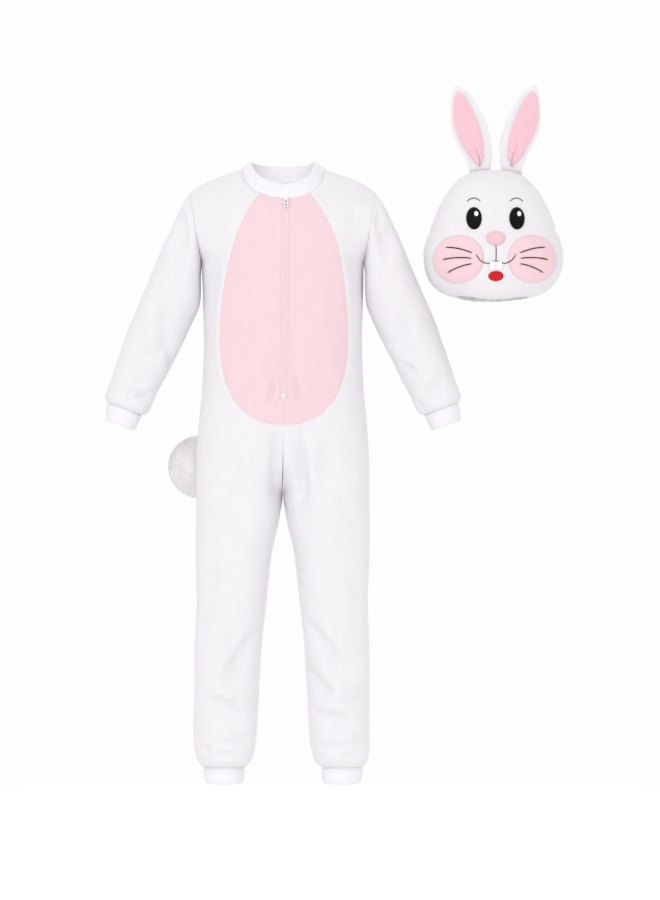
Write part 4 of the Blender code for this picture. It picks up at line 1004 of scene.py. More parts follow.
def body_panel(side, face):
    """The finished outer face of a quarter of the jumpsuit, before the belly is cut out of it."""
    sizes = bpy.context.scene.costume_cloth
    share = spread(int(PANEL_WIDTH / sizes.spacing), 0.45)
    heights = np.linspace(1.0, 0.0, int(CHEST_LENGTH / sizes.spacing))
    body = np.arange(UNDERARM_Z - sizes.spacing, HEM_BAND_Z, -sizes.spacing)
    hem = np.linspace(HEM_BAND_Z, HEM_Z, int(HEM_BAND_LENGTH / sizes.spacing))
    lower = np.concatenate([body[body > HEM_BAND_Z + 0.002], hem])
    grid = np.concatenate([upper_grid(heights, share, face), lower_grid(lower, share, face)])
    upper = len(heights)
    z = grid[:, :, 2]
    split = np.concatenate([np.zeros(upper), curve(BODY, "split", lower)])[:, None]
    at = share[None, :]

    # Folds fade out over the sixth of the panel beside a seam, and over the top quarter of the chest
    fade = ramp((1.0 - at) * 6.0) * blend(1.0, np.minimum(at * 6.0, 1.0), split)
    down = np.minimum(np.arange(len(grid)) / (upper * 0.25), 1.0)[:, None]
    lift = fold_height(FOLDS[face], side * grid[:, :, 0], z) * fade * down
    lift[-1] = 0.0
    grid = grid + grid_normals(grid, False, (0.0, 0.0, 0.0)) * lift[..., None]

    # The shoulder arches, and the side seam swells or draws in
    across = ramp((grid[:, :, 0] - NECK_HALF_WIDTH) / (SHOULDER_HALF_WIDTH - NECK_HALF_WIDTH))
    arch = SHOULDER_RISE * np.sin(math.pi * across ** 1.6)
    grid[:, :, 2] += arch * bell(np.arange(len(grid)), 9.0)[:, None]
    for height, reach, swell in SIDE_SWELLS[side]:
        grid[:, :, 0] += swell * bell(z - height, reach) * at ** 2 * ramp((z - HEM_Z) / 0.02)

    from_middle, from_side = walked(grid, 1)
    from_top, from_hem = walked(grid, 0)
    calm = (1 - 0.8 * np.exp(-from_middle / 0.012)) * (1 - 0.9 * np.exp(-from_side / 0.012))
    calm = calm * ramp(from_top / 0.02)
    fine = crease_height(CREASES[face], side * grid[:, :, 0], z) * calm
    uneven = soft_unevenness(grid * (side, 1.0, 0.6), size=0.050, height=0.0011, seed=3 + side + 2 * face)
    fine += uneven * calm
    fine += seam_turn(from_middle) * (0.10 if face == FRONT else 0.6)
    fine += seam_turn(from_side) * 0.3
    fine += seam_turn(from_top) * 0.1
    puckers = sizes.pucker * gathers(from_middle, pitch=0.0105, wobble=1.2, rate=130.0)
    fine += puckers * np.exp(-from_hem / 0.016) * ramp(from_hem / 0.003)

    # Along a seam the cloth moves only within the seam's own plane, so that its neighbour meets it
    normals = grid_normals(grid, False, (0.0, 0.0, 0.0))
    normals[upper:, 0, 1:] *= (1 - split[upper:])
    normals[upper:, -1, 1] = 0.0
    normals[:upper, -1, 0] = 0.0
    normals[0, share > NECK_SHARE, 1] = 0.0
    normals[0, share <= NECK_SHARE, 2] = 0.0
    grid = grid + unit(normals) * fine[..., None]
    if face == FRONT:
        near = np.cos(np.minimum(at / NECK_SHARE, 1.0) * math.pi / 2) ** 2 * (1.0 - split)
        grid[:, :, 0] += side * lean_at(z) * near
    grid[:, :, 0] *= side
    return grid


def belly_shape(side, z):
    """The belly's height and fullness above or below its widest place, and how far that edge bows out."""
    reach, level, width = BELLY_SWELL
    swell = reach * math.exp(-(((z - level) / width) ** 2)) if side == RIGHT else 0.0
    return (BELLY_RISE, BELLY_POWER[side], swell) if z > BELLY_Z else (BELLY_DROP, BELLY_LOW_POWER, swell)


def belly_distance(x, z):
    """Distance outside the belly's outline, below 0 within it, seen from the front."""
    dx, dz = x - BELLY_CENTRE_X, z - BELLY_Z
    high, power, swell = belly_shape(RIGHT if dx > 0.0 else LEFT, z)
    across = max(abs(dx) - swell, 0.0) / BELLY_HALF_WIDTH
    along = abs(dz) / high
    r = (across ** power + along ** power) ** (1.0 / power)
    if r < 0.2:
        return -0.05    # so near the middle that the exact distance has no use
    slope = math.hypot(across ** (power - 1.0) / BELLY_HALF_WIDTH, along ** (power - 1.0) / high)
    return (r - 1.0) * r ** (power - 1.0) / slope


def belly_top(grid):
    """Height at which the neck seam, the grid's first row, leaves the belly."""
    row = [(belly_distance(x, z), z) for x, _, z in grid[0]]
    last = next(i for i, (away, _) in enumerate(row) if away > 0.0)
    (inside, low), (outside, high) = row[last - 1], row[last]
    return blend(low, high, inside / (inside - outside))


def belly_edge(turn):
    """A place (x, z) on the belly's outline, going round from its right over its top."""
    side = RIGHT if math.cos(turn) > 0.0 else LEFT
    rise = math.sin(turn)
    high, power, _ = belly_shape(side, BELLY_Z + rise)
    z = BELLY_Z + high * math.copysign(abs(rise) ** (2.0 / power), rise)
    across = BELLY_HALF_WIDTH * abs(math.cos(turn)) ** (2.0 / power) + belly_shape(side, z)[2]
    return BELLY_CENTRE_X + side * across, z


def cut_line(build, level):
    """Adds a line of edges where the distance to the belly's outline is level."""
    away = {v: belly_distance(v.co.x, v.co.z) - level for v in build.verts}
    on_line = set()
    # A corner that is close to the line moves on to it, so that no sliver is cut off
    for edge in list(build.edges):
        ends = tuple(edge.verts)
        for a, b in (ends, ends[::-1]):
            if a in on_line or b in on_line or away[a] * away[b] >= 0.0:
                continue
            t = away[a] / (away[a] - away[b])
            if t < 0.18 and not a.is_boundary:
                a.co = a.co.lerp(b.co, t)
                away[a] = 0.0
                on_line.add(a)
    for edge in list(build.edges):
        a, b = edge.verts
        if away[a] * away[b] < 0.0:
            made = bmesh.utils.edge_split(edge, a, away[a] / (away[a] - away[b]))[1]
            away[made] = 0.0
            on_line.add(made)
    # In the mesh's own order, so that each run cuts alike
    bmesh.ops.connect_verts(build, verts=[vert for vert in build.verts if vert in on_line])


def cut_belly(grid):
    """Cuts a front quarter along the belly's outline and turns both cloths in at that seam."""
    seam_dip = bpy.context.scene.costume_cloth.seam_dip
    build = surface_build(grid)
    for level in BELLY_LEVELS:
        cut_line(build, level)
    outwards(build, FRONT)
    shifts = {}
    for vert in build.verts:
        away = belly_distance(vert.co.x, vert.co.z)
        if abs(away) < 0.02:
            edging = 0.0011 * bell(away - 0.0052, 0.0030)
            swell = 0.0005 * bell(away + 0.0080, 0.0050)
            shifts[vert] = vert.normal * (edging + swell - 0.25 * seam_dip * bell(away, 0.0020))
    for vert, shift in shifts.items():
        vert.co += shift
    belly = build.copy()
    for cloth, keep in ((build, 1), (belly, -1)):
        middles = {face: face.calc_center_median() for face in cloth.faces}
        drop = [face for face, middle in middles.items() if belly_distance(middle.x, middle.z) * keep < 0.0]
        bmesh.ops.delete(cloth, geom=drop, context="FACES")
    return build, belly


class CostumeBody(bpy.types.Operator):
    """Makes the four white panels of the jumpsuit and the two pink halves of its belly"""

    bl_idname = "costume.body"
    bl_label = "Body and legs"

    def execute(self, context):
        sizes = context.scene.costume_cloth
        white = kept_material(plush, "white polyester plush", sizes.white)
        pink = kept_material(plush, "pink polyester plush", sizes.pink)
        turns = {}
        for side, side_name in SIDES:
            grid = body_panel(side, FRONT)
            # The edging starts 1.2 mm under the neck seam
            rise = (belly_top(grid) - 0.0012 - BELLY_Z) / BELLY_RISE
            turns[side] = math.asin(rise ** (BELLY_POWER[side] / 2.0))
            cloth, belly = cut_belly(grid)
            front = place_shell(
                f"front_panel_{side_name}", cloth, FRONT, sizes.wall, white,
                f"front_{side_name}", slot="white_plush",
            )
            inset = place_shell(
                f"belly_panel_{side_name}", belly, FRONT, sizes.wall, pink,
                f"belly_{side_name}", slot="pink_plush",
            )
            back = place_shell(
                f"back_panel_{side_name}", surface_build(body_panel(side, BACK)), BACK, sizes.wall, white,
                f"back_{side_name}", slot="white_plush",
            )
        thread = kept_material(satin_thread, "white embroidery thread", sizes.thread)
        places = [belly_edge(turn) for turn in np.linspace(turns[RIGHT], -math.pi - turns[LEFT], 420)]
        panels = [f"{part}_panel_{side_name}" for part in ("front", "belly") for _, side_name in SIDES]
        build = bmesh.new()
        add_line(build, laid_on(panels, places, 0.0002), sizes.edging / 2)
        place("belly_edge_stitching", build, thread, slot="white_plush")
        return {"FINISHED"}


def tube_ring(row, side, turns, power):
    """Points round a sleeve's section, from its inner edge over the front to the outer edge and back."""
    share = (1.0 - np.cos(turns)) / 2
    wave = np.sin(turns)
    return np.stack([
        side * blend(row.inner_x, row.outer_x, share),
        -row.depth * np.sign(wave) * np.abs(wave) ** power,
        blend(row.inner_z, row.outer_z, share),
    ], axis=-1)


class CostumeSleeves(bpy.types.Operator):
    """Makes the two set-in sleeves"""

    bl_idname = "costume.sleeves"
    bl_label = "Sleeves"

    def execute(self, context):
        sizes = context.scene.costume_cloth
        white = kept_material(plush, "white polyester plush", sizes.white)
        turns = np.linspace(0.0, 2 * math.pi, 84, endpoint=False)
        rise = (1.0 - np.cos(turns)) / 2
        z = blend(UNDERARM_Z, -SHOULDER_DROP, rise)
        front = np.sin(turns) > 0.0
        depth = np.where(front, -armhole_y(rise, FRONT), armhole_y(rise, BACK))
        # Folds fade out towards the sleeve's upper and lower edge, seen from the front
        sides = np.minimum(np.abs(np.sin(turns)) * 1.8, 1.0)
        for side, side_name in SIDES:
            armhole = np.stack([side * armhole_x(z), depth, z], axis=-1)
            rings = [armhole] + [tube_ring(row, side, turns, 0.92) for row in SLEEVE]
            grid = finer(rings, sizes.spacing * 0.85)
            normals = grid_normals(grid, True)
            from_top, from_hem = walked(grid, 0)
            lift = np.zeros(grid.shape[:2])
            for face, there in ((FRONT, front), (BACK, ~front)):
                large = fold_height(SLEEVE_FOLDS[face], side * grid[:, :, 0], grid[:, :, 2])
                small = crease_height(SLEEVE_CREASES[side][face], grid[:, :, 0], grid[:, :, 2])
                lift += (large + small) * (sides * there)[None, :]
            lift *= ramp(from_top / 0.015) * ramp(from_hem / 0.004)
            uneven = soft_unevenness(grid * (side, 1.0, 1.0), size=0.042, height=0.0012, seed=8 + side)
            lift += uneven * ramp(from_top / 0.02)
            around = walked(grid, 1)[0]
            puckers = sizes.pucker * gathers(around, pitch=0.0100, wobble=1.0, rate=90.0)
            lift += puckers * np.exp(-from_hem / 0.014) * ramp(from_hem / 0.003)
            lift += seam_turn(from_top) * 0.3
            inseam = np.minimum(around, around[:, -1:] - around)
            lift += seam_turn(inseam) * 0.5 * ramp(from_top / 0.01)
            grid = grid + normals * lift[..., None]
            sleeve = place(
                f"plush_sleeve_{side_name}", tube_build(grid, grid_normals(grid, True), sizes.wall), white,
                f"sleeve_{side_name}", slot="white_plush",
            )
        return {"FINISHED"}


def rib_height(grid, swell, seam_tuck, tuck_reach, edge_tuck):
    """How far a rib band stands out: swollen in its middle, drawn in at its seam and at its free edge."""
    from_seam, from_edge = walked(grid, 0)
    height = swell * np.sin(math.pi * ramp(from_seam / from_seam[-1:]))
    return height - seam_tuck * np.exp(-from_seam / tuck_reach) - edge_tuck * bell(from_edge, 0.0022)


class CostumeCuffs(bpy.types.Operator):
    """Makes the four rib cuffs"""

    bl_idname = "costume.cuffs"
    bl_label = "Cuffs"

    def execute(self, context):
        sizes = context.scene.costume_cloth
        knit = kept_material(rib_knit, "white cotton rib", sizes.rib)
        turns = np.linspace(0.0, 2 * math.pi, 96, endpoint=False)
        for side, side_name in SIDES:
            wrist = [tube_ring(row, side, turns, 1.0) for row in WRIST_CUFF]
            ankle = [np.stack([
                side * row.centre + row.half_width * np.cos(turns),
                row.half_depth * np.sin(turns),
                row.z - row.sag * np.sin(turns) ** 2,
            ], axis=-1) for row in ANKLE_CUFF]
            for name, rings, flat, leads in (
                (f"wrist_cuff_{side_name}", wrist, (0.18, 0.032), f"plush_sleeve_{side_name}"),
                (f"ankle_cuff_{side_name}", ankle, (0.215, 0.034), f"front_panel_{side_name}"),
            ):
                # The cuff reaches a tenth of its first row into the plush
                rings[0] = rings[0] + (rings[0] - rings[1]) * 0.10
                grid = finer(rings, CUFF_ROWS)
                lift = rib_height(grid, swell=0.0006, seam_tuck=0.0010, tuck_reach=0.0018, edge_tuck=0.0007)
                lift += soft_unevenness(grid, size=0.016, height=0.0007, seed=5)
                grid = grid + grid_normals(grid, True) * lift[..., None]
                around = walked(np.concatenate([grid, grid[:, :1]], axis=1), 1)[0][len(grid) // 2]
                # A whole number of ribs goes round the cuff
                around = around * (round(around[-1] / RIB_PITCH) * RIB_PITCH / around[-1])
                cloth = tube_build(grid, grid_normals(grid, True), sizes.rib_wall, around)
                cuff = place(f"rib_{name}", cloth, knit, name, slot="white_rib")
        return {"FINISHED"}


def collar_rings(turns):
    """The collar's rings; turns run from the front round the right side to the back and on to the front."""
    forward, aside = np.cos(turns), np.sin(turns)
    share = np.abs(forward)
    ahead = forward > 0
    middle = np.where(ahead, NECK_SLOT[FRONT], NECK_SLOT[BACK])
    drop = np.where(ahead, NECK_DROP[FRONT], NECK_DROP[BACK])
    rings = []
    for row in COLLAR:
        rise = blend(row.rise_side, np.where(ahead, row.rise_front, row.rise_back), share)
        x = np.sign(aside) * blend(middle, NECK_HALF_WIDTH * row.width, np.abs(aside))
        x = x + ZIP_LEAN * np.maximum(forward, 0.0) ** 2
        y = np.where(ahead, -row.front * share, row.back * share)
        rings.append(np.stack([x, y, rise - drop * share], axis=-1))
    rings = np.array(rings)
    rings[:, 0, 0] = ZIP_LEAN + NECK_SLOT[FRONT]
    rings[:, -1, 0] = ZIP_LEAN - NECK_SLOT[FRONT]
    return rings


class CostumeCollar(bpy.types.Operator):
    """Makes the rib stand collar, open at the front for the zip"""

    bl_idname = "costume.collar"
    bl_label = "Collar"

    def execute(self, context):
        sizes = context.scene.costume_cloth
        knit = kept_material(rib_knit, "white cotton rib", sizes.rib)
        turns = np.linspace(0.0, 2 * math.pi, 181)
        grid = finer(collar_rings(turns), COLLAR_ROWS)
        level = np.stack([np.sin(turns), -np.cos(turns), np.zeros_like(turns)], axis=-1)
        normals = np.broadcast_to(level[None], grid.shape)
        lift = rib_height(grid, swell=0.0009, seam_tuck=0.0002, tuck_reach=0.0020, edge_tuck=0.0008)
        lift += soft_unevenness(grid, size=0.022, height=0.0008, seed=6)
        grid = grid + normals * lift[..., None]
        around = walked(grid, 1)[0][len(grid) // 2]
        cloth = tube_build(grid, normals, sizes.rib_wall, around, False)
        collar = place("rib_collar", cloth, knit, "collar", slot="white_rib")
        return {"FINISHED"}


def front_line(z):
    """Points on the outer face at the zip, on the body and on the collar above the neck seam."""
    seam = -NECK_DROP[FRONT]
    rise = ramp((z - UNDERARM_Z) / (seam - UNDERARM_Z))
    body = lower_grid(np.minimum(z, UNDERARM_Z), np.array([0.0]), FRONT)[:, 0, 1]
    chest = upper_grid(np.arcsin(rise) / (math.pi / 2), np.array([0.0]), FRONT)[:, 0, 1]
    band = np.interp(z, [seam + row.rise_front for row in COLLAR], [-row.front for row in COLLAR])
    y = np.where(z <= UNDERARM_Z, body, np.where(z <= seam + COLLAR[0].rise_front, chest, band))
    return np.stack([lean_at(z), y, z], axis=-1)


def front_strip(z, profile, thick, middle=0.0):
    """A strip that follows the front line; profile lists places across it and their height on the cloth."""
    centres = front_line(z)
    runs = np.gradient(centres, axis=0)
    out = unit(np.stack([np.zeros(len(z)), runs[:, 2], -runs[:, 1]], axis=-1))
    out = np.where(out[:, 1:2] > 0.0, -out, out)
    across, high = np.array(profile).T
    grid = centres[:, None] + out[:, None] * high[None, :, None]
    grid[:, :, 0] += middle + across
    return closed(surface_build(np.concatenate([grid, (grid - out[:, None] * thick)[:, ::-1]], axis=1), True))


def coil_build(sizes):
    """Both coils of the zip, turn by turn."""
    build = bmesh.new()
    pitch = sizes.tooth_pitch
    steps = np.arange(SLIDER_Z - 0.004, ZIP_STOP_Z + 0.002, -pitch)
    # The right half's turns stand between the left half's
    for side, shift in ((LEFT, 0.0), (RIGHT, pitch / 2)):
        for point in front_line(steps - shift):
            outer = point + np.array([side * sizes.coil_width / 2, 0.0004, 0.0])
            inner = point + np.array([-side * 0.0003, 0.0001, -pitch * 0.12])
            add_bar(build, outer, inner, pitch * 0.30, 6)
    return build


def dots_build(radius):
    """The two dark dots, low domes on the front of the pull: painted shade that stands for the shadow seen
    through its holes.
    """
    low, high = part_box("zip_pull")
    build = bmesh.new()
    for height in PULL_DOTS:
        ball = bmesh.ops.create_uvsphere(build, u_segments=20, v_segments=10, radius=radius)["verts"]
        bmesh.ops.scale(build, verts=ball, vec=(1.0, 0.30, 1.0))
        at = ((low.x + high.x) / 2, low.y + 0.0001, blend(low.z, high.z, height))
        bmesh.ops.translate(build, verts=ball, vec=at)
    return build


def topstitching_build(cloths):
    """A row of stitches along each side of the zip, laid on the named cloths."""
    build = bmesh.new()
    z = np.linspace(-0.062, ZIP_STOP_Z - 0.006, 120)
    for side, _ in SIDES:
        line = laid_on(cloths, [(lean_at(v) + side * 0.0062, v) for v in z], 0.00015)
        add_stitches(build, line, length=0.0026, gap=0.0010, radius=0.00036)
    return build


class CostumeZip(bpy.types.Operator):
    """Makes the front zip: coil, tapes, slider, pull and stop, and the sewing along it"""

    bl_idname = "costume.zip"
    bl_label = "Zip"

    def execute(self, context):
        sizes = context.scene.costume_zip
        tape = kept_material(woven_tape, "woven polyester zip tape", sizes.tape)
        ends = kept_material(woven_tape, "white zip tape", sizes.ends)
        coil = kept_material(nylon_coil, "nylon zip coil", sizes.tape)
        enamel = kept_material(enamelled_zinc, "white enamelled zinc", sizes.metal)
        blush = kept_material(enamelled_zinc, "pale pink enamelled zinc", sizes.tape)
        dark = kept_material(enamelled_zinc, "dark enamel", sizes.dots)
        thread = kept_material(felt, "pink sewing thread", context.scene.costume_cloth.pink)
        belly = ["belly_panel_left", "belly_panel_right"]

        top = -NECK_DROP[FRONT] + COLLAR[-1].rise_front - 0.001
        profile = [(-x, y) for x, y in reversed(TAPE_HALF[1:])] + list(TAPE_HALF)
        strip = front_strip(np.linspace(top, ZIP_STOP_Z - 0.013, 150), profile, thick=0.0006)
        ground = place("zip_tape", strip, tape, slot="zip_tape")
        chain = place("zip_coil", coil_build(sizes), coil, "zip_chain", slot="zip_tape")
        for side, side_name in SIDES:
            z = np.linspace(top - 0.0010, -NECK_DROP[FRONT] - 0.0035, 22)
            flap = front_strip(z, FLAP_PROFILE, thick=0.0014, middle=side * 0.0019)
            place(f"zip_tape_end_{side_name}", flap, ends, slot="zip_tape")
        for name, finish in (("zip_slider", enamel), ("zip_pull", enamel), ("zip_stop", blush)):
            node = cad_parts[name]
            node.data.materials.clear()
            node.data.materials.append(finish)
            edge = node.modifiers.new("worn edge", "BEVEL")
            edge.width = 0.00030
            edge.segments = 3
            edge.limit_method = "ANGLE"
            edge.angle_limit = math.radians(50)

        # Painted shade: dark domes where the pull's holes show the shadow behind them
        place("pull_dots", dots_build(sizes.dot_radius), dark, slot="zip_enamel", body="pull_tab")
        place("zip_topstitching", topstitching_build(belly), thread, slot="pink_plush")
        return {"FINISHED"}


def fibres_build(centre, sizes):
    """The tail's fur: flat fibres of two faces each, rooted all over the ball but not where the hip is."""
    chance = random.Random(11)
    build = bmesh.new()
    for _ in range(sizes.fibres):
        out = Vector([chance.gauss(0.0, 1.0) for _ in range(3)]).normalized()
        root = centre + out * (TAIL_RADIUS - 0.0014)
        if abs(root.y) < HIP_DEPTH and root.x > HIP_X:
            continue
        # A fibre leans by chance and hangs a little, more so in its outer half
        lean = Vector([chance.gauss(0.0, 0.22) for _ in range(3)]) + Vector((0.0, 0.0, -0.25))
        way = (out * 1.1 + lean).normalized()
        length = sizes.pile * chance.uniform(0.7, 1.15)
        across = way.cross(out).normalized() * 0.00014
        middle = root + way * length * 0.55
        tip = build.verts.new(middle + (way + Vector((0.0, 0.0, -0.35))).normalized() * length * 0.45)
        low_left, low_right = build.verts.new(root - across), build.verts.new(root + across)
        right, left = build.verts.new(middle + across * 0.8), build.verts.new(middle - across * 0.8)
        build.faces.new((low_left, low_right, right, left))
        build.faces.new((left, right, tip))
    return build


class CostumeTail(bpy.types.Operator):
    """Makes the stuffed fur ball at the left hip"""

    bl_idname = "costume.tail"
    bl_label = "Tail"

    def execute(self, context):
        sizes = context.scene.costume_tail
        fur = kept_material(faux_fur, "grey-white faux fur", sizes.fur)
        low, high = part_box("tail")
        centre = (low + high) / 2 + TAIL_SHIFT
        build = bmesh.new()
        bmesh.ops.create_icosphere(build, subdivisions=5, radius=1.0)
        for vert in build.verts:
            out = vert.co.normalized()
            lump = noise.noise(out * 2.2) * 0.0014 + noise.noise(out * 9.0) * 0.0005
            tuft = abs(noise.noise(out * 26.0)) * 0.0004
            vert.co = centre + out * (TAIL_RADIUS - 0.0008 + lump - tuft)
        ball = place("fur_tail", build, fur, "tail", slot="tail_plush")
        place("fur_fibres", fibres_build(centre, sizes), fur, slot="tail_plush")
        return {"FINISHED"}


def head_half(face):
    """The outer face of a half of the padded head."""
    sizes = bpy.context.scene.costume_head
    z = HEAD[-1].z * np.linspace(0.0, 1.0, int(HEAD_LENGTH / sizes.spacing))[:, None] ** 1.35
    turns = (spread(int(HEAD_HALF_GIRTH / sizes.spacing), 0.5)[None, :] - 0.5) * math.pi
    half, depth = (
        curve(HEAD, name, z[:, 0])[:, None] for name in ("half_width", "front" if face == FRONT else "back")
    )
    across = np.sign(np.sin(turns)) * round_off(np.sin(turns))
    low = ramp((NECK_HOLE_Z - z) / (NECK_HOLE_Z - HEAD[-1].z))
    grid = np.stack([
        HEAD_X + half * across,
        face * depth * round_off(np.cos(turns)),
        z + NECK_HOLE_LIFT * low * across ** 2,
    ], axis=-1)
    normals = grid_normals(grid, False, (HEAD_X, 0.0, -0.12))
    from_left, from_right = walked(grid, 1)
    from_seam = np.minimum(from_left, from_right)
    from_top, from_hem = walked(grid, 0)
    fine = seam_turn(from_seam * 0.8) * 1.6
    fine += soft_unevenness(grid, size=0.045, height=0.0016, seed=12 + face) * ramp(from_seam / 0.015)
    puckers = 0.0010 * gathers(from_top, pitch=0.0125, wobble=1.4, rate=80.0)
    fine += puckers * np.exp(-from_seam / 0.007) * ramp((-z - 0.10) / 0.05)
    around = from_left - from_left[:, -1:] / 2
    fine += 0.0005 * gathers(around, pitch=0.017, wobble=1.5, rate=60.0) * np.exp(-from_hem / 0.010)
    fine -= 0.0026 * bell(z - HEAD_TUCK_Z, 0.0060) * np.abs(across) ** 6
    fine -= 0.0022 * bell(from_hem, 0.0040)
    normals[:, [0, -1], 1] = 0.0
    normals[0] = (0.0, 0.0, 1.0)
    return grid + unit(normals) * fine[..., None]


class CostumeHead(bpy.types.Operator):
    """Makes the two halves of the padded head"""

    bl_idname = "costume.head"
    bl_label = "Padded head"

    def execute(self, context):
        wall = context.scene.costume_head.wall
        white = kept_material(plush, "white polyester plush", context.scene.costume_cloth.white)
        for face, name in ((FRONT, "head_front"), (BACK, "head_back")):
            build = surface_build(head_half(face))
            half = place_shell(f"padded_{name}", build, face, wall, white, name, slot="head_plush")
        return {"FINISHED"}


def crown_under(trees, x, y):
    """Height of the head's crown under a place."""
    hits = [tree.ray_cast(Vector((x, y, 0.05)), Vector((0.0, 0.0, -1.0)))[0] for tree in trees]
    return max(hit.z for hit in hits if hit is not None)


def ear_build(side, z, columns, trees):
    """A padded ear, flatter in front, whose foot follows the crown."""
    turns = np.linspace(0.0, 2 * math.pi, 56, endpoint=False)
    forward, aside = np.sin(turns)[None, :], np.cos(turns)[None, :]
    x = EAR_X + side * columns["centre"][:, None] + aside * columns["half_width"][:, None]
    y = forward * columns["thick"][:, None] / 2
    y = np.where(forward < 0, y * EAR_FLATNESS + 0.0012 * (1 - aside ** 2), y)
    grid = np.stack([x, EAR_Y + y, np.broadcast_to(z[:, None], x.shape)], axis=-1)
    foot = 0.0030 * np.exp(-(z[:, None] - z[0]) / 0.006)
    uneven = soft_unevenness(grid, size=0.022, height=0.0008, seed=20 + side)
    grid = grid + grid_normals(grid, True) * (uneven + foot)[..., None]
    grid[0, :, 2] = [crown_under(trees, px, py) - 0.0010 for px, py in grid[0, :, :2]]
    return closed(surface_build(grid, True))


def lining_grid(side, z, at):
    """The outer face of an ear's lining: proud of the ear, with a pinched pleat at its foot."""
    outer = at["centre"] + at["half_width"] - np.interp(z, LINING_Z, LINING_OUTER)
    inner = at["centre"] - at["half_width"] + np.interp(z, LINING_Z, LINING_INNER)
    z, centre = z[:, None], at["centre"][:, None]
    above = z - LINING_FOOT
    taper = np.clip(np.minimum(above / 0.016, (LINING_TIP - z) / 0.010), 0.02, 1.0) ** 0.6
    share = np.linspace(-1.0, 1.0, 25)[None, :]
    aside = (outer + inner)[:, None] / 2 + share * (outer - inner)[:, None] / 2 * taper
    within = np.clip((aside - centre) / at["half_width"][:, None], -0.98, 0.98)
    front = EAR_Y - at["thick"][:, None] / 2 * EAR_FLATNESS * np.sqrt(1.0 - within ** 2)
    rim = np.maximum(np.abs(share), 1 - taper)
    # The pleat leans from the ear's edge at the foot to its middle, and ends a third of the way up
    line = -0.55 + 0.75 * ramp(above / 0.060)
    held = ramp(1 - above / 0.044)
    pleat = 0.0014 * bell(share - line, 0.36) * held - 0.0046 * bell(share - line, 0.10) * held ** 0.6
    proud = LINING_LIFT + 0.0016 * (1 - rim ** 6) + pleat
    return np.stack([EAR_X + side * aside, front - proud, np.broadcast_to(z, aside.shape)], axis=-1)


class CostumeEars(bpy.types.Operator):
    """Makes the two padded ears and their pink linings"""

    bl_idname = "costume.ears"
    bl_label = "Ears"

    def execute(self, context):
        cloth = context.scene.costume_cloth
        white = kept_material(plush, "white polyester plush", cloth.white)
        pink = kept_material(plush, "pink ear plush", context.scene.costume_head.ear_pink)
        trees = [surface_tree(name) for name in ("padded_head_front", "padded_head_back")]
        fine_z = np.concatenate([
            np.linspace(EAR[0].z, EAR_TURN_Z, 46)[:-1], np.linspace(EAR_TURN_Z, EAR[-1].z, 8)
        ])
        columns = {
            name: through([getattr(row, name) for row in EAR], [row.z for row in EAR], fine_z)
            for name in ("centre", "half_width", "thick")
        }
        lining_z = np.linspace(LINING_LOW, LINING_HIGH, 60)
        at = {name: np.interp(lining_z, fine_z, column) for name, column in columns.items()}
        for side, side_name in SIDES:
            build = ear_build(side, fine_z, columns, trees)
            ear = place(f"padded_ear_{side_name}", build, white, f"ear_{side_name}", slot="head_plush")
            build = surface_build(lining_grid(side, lining_z, at))
            lining = place_shell(
                f"ear_pink_{side_name}", build, FRONT, cloth.wall, pink,
                f"ear_lining_{side_name}", slot="pink_plush",
            )
        return {"FINISHED"}


def face_depth(x, z):
    """The face's outer side at places from its middle."""
    half, depth = (curve(HEAD, name, z.ravel()).reshape(z.shape) for name in ("half_width", "front"))
    share = np.minimum(np.abs(x) / half, 0.999)
    return -depth * (1.0 - share ** FULLNESS) ** (1.0 / FULLNESS)


def face_skin(x, z):
    """The face's outer side under places seen from the front, and its outward directions."""
    step = 0.0005
    slope_x = (face_depth(x + step, z) - face_depth(x - step, z)) / (2 * step)
    slope_z = (face_depth(x, z + step) - face_depth(x, z - step)) / (2 * step)
    points = np.stack([HEAD_X + x, face_depth(x, z), z], axis=-1)
    return points, unit(np.stack([slope_x, -np.ones_like(x), slope_z], axis=-1))


def pad_build(pad):
    """A stuffed pad on the face: a soft crown over a thin sewn-down edge, closed behind."""
    turns = np.linspace(0.0, 2 * math.pi, pad.columns, endpoint=False)[None, :]
    share = np.linspace(0.0, 1.0, pad.rings + 1)[:, None] ** 0.75
    x = pad.x + pad.half_width * share * np.cos(turns)
    z = pad.z + pad.half_height * share * np.sin(turns)
    points, out = face_skin(x, z)
    crown = (PAD_EDGE + pad.crown) * (1.0 - share ** 2.6) ** 0.62 + 0.0002
    top = points + out * (PAD_LIFT + crown)[..., None]
    return closed(surface_build(np.concatenate([top, points[-1:] - out[-1:] * 0.0004]), True))


def patch_on(name, x, z, half_width, half_height, lift):
    """A small sewn patch laid on the named piece, turned in at its edge."""
    turns = np.linspace(0.0, 2 * math.pi, 28, endpoint=False)
    rows = []
    for share, rise in ((0.0, 1.0), (0.35, 1.0), (0.7, 1.0), (0.92, 0.8), (1.0, 0.3), (1.0, -0.6)):
        wide, tall = half_width * share, half_height * share
        places = [(x + wide * math.cos(turn), z + tall * math.sin(turn)) for turn in turns]
        rows.append(laid_on([name], places, lift * rise))
    return closed(surface_build(np.array(rows), True))


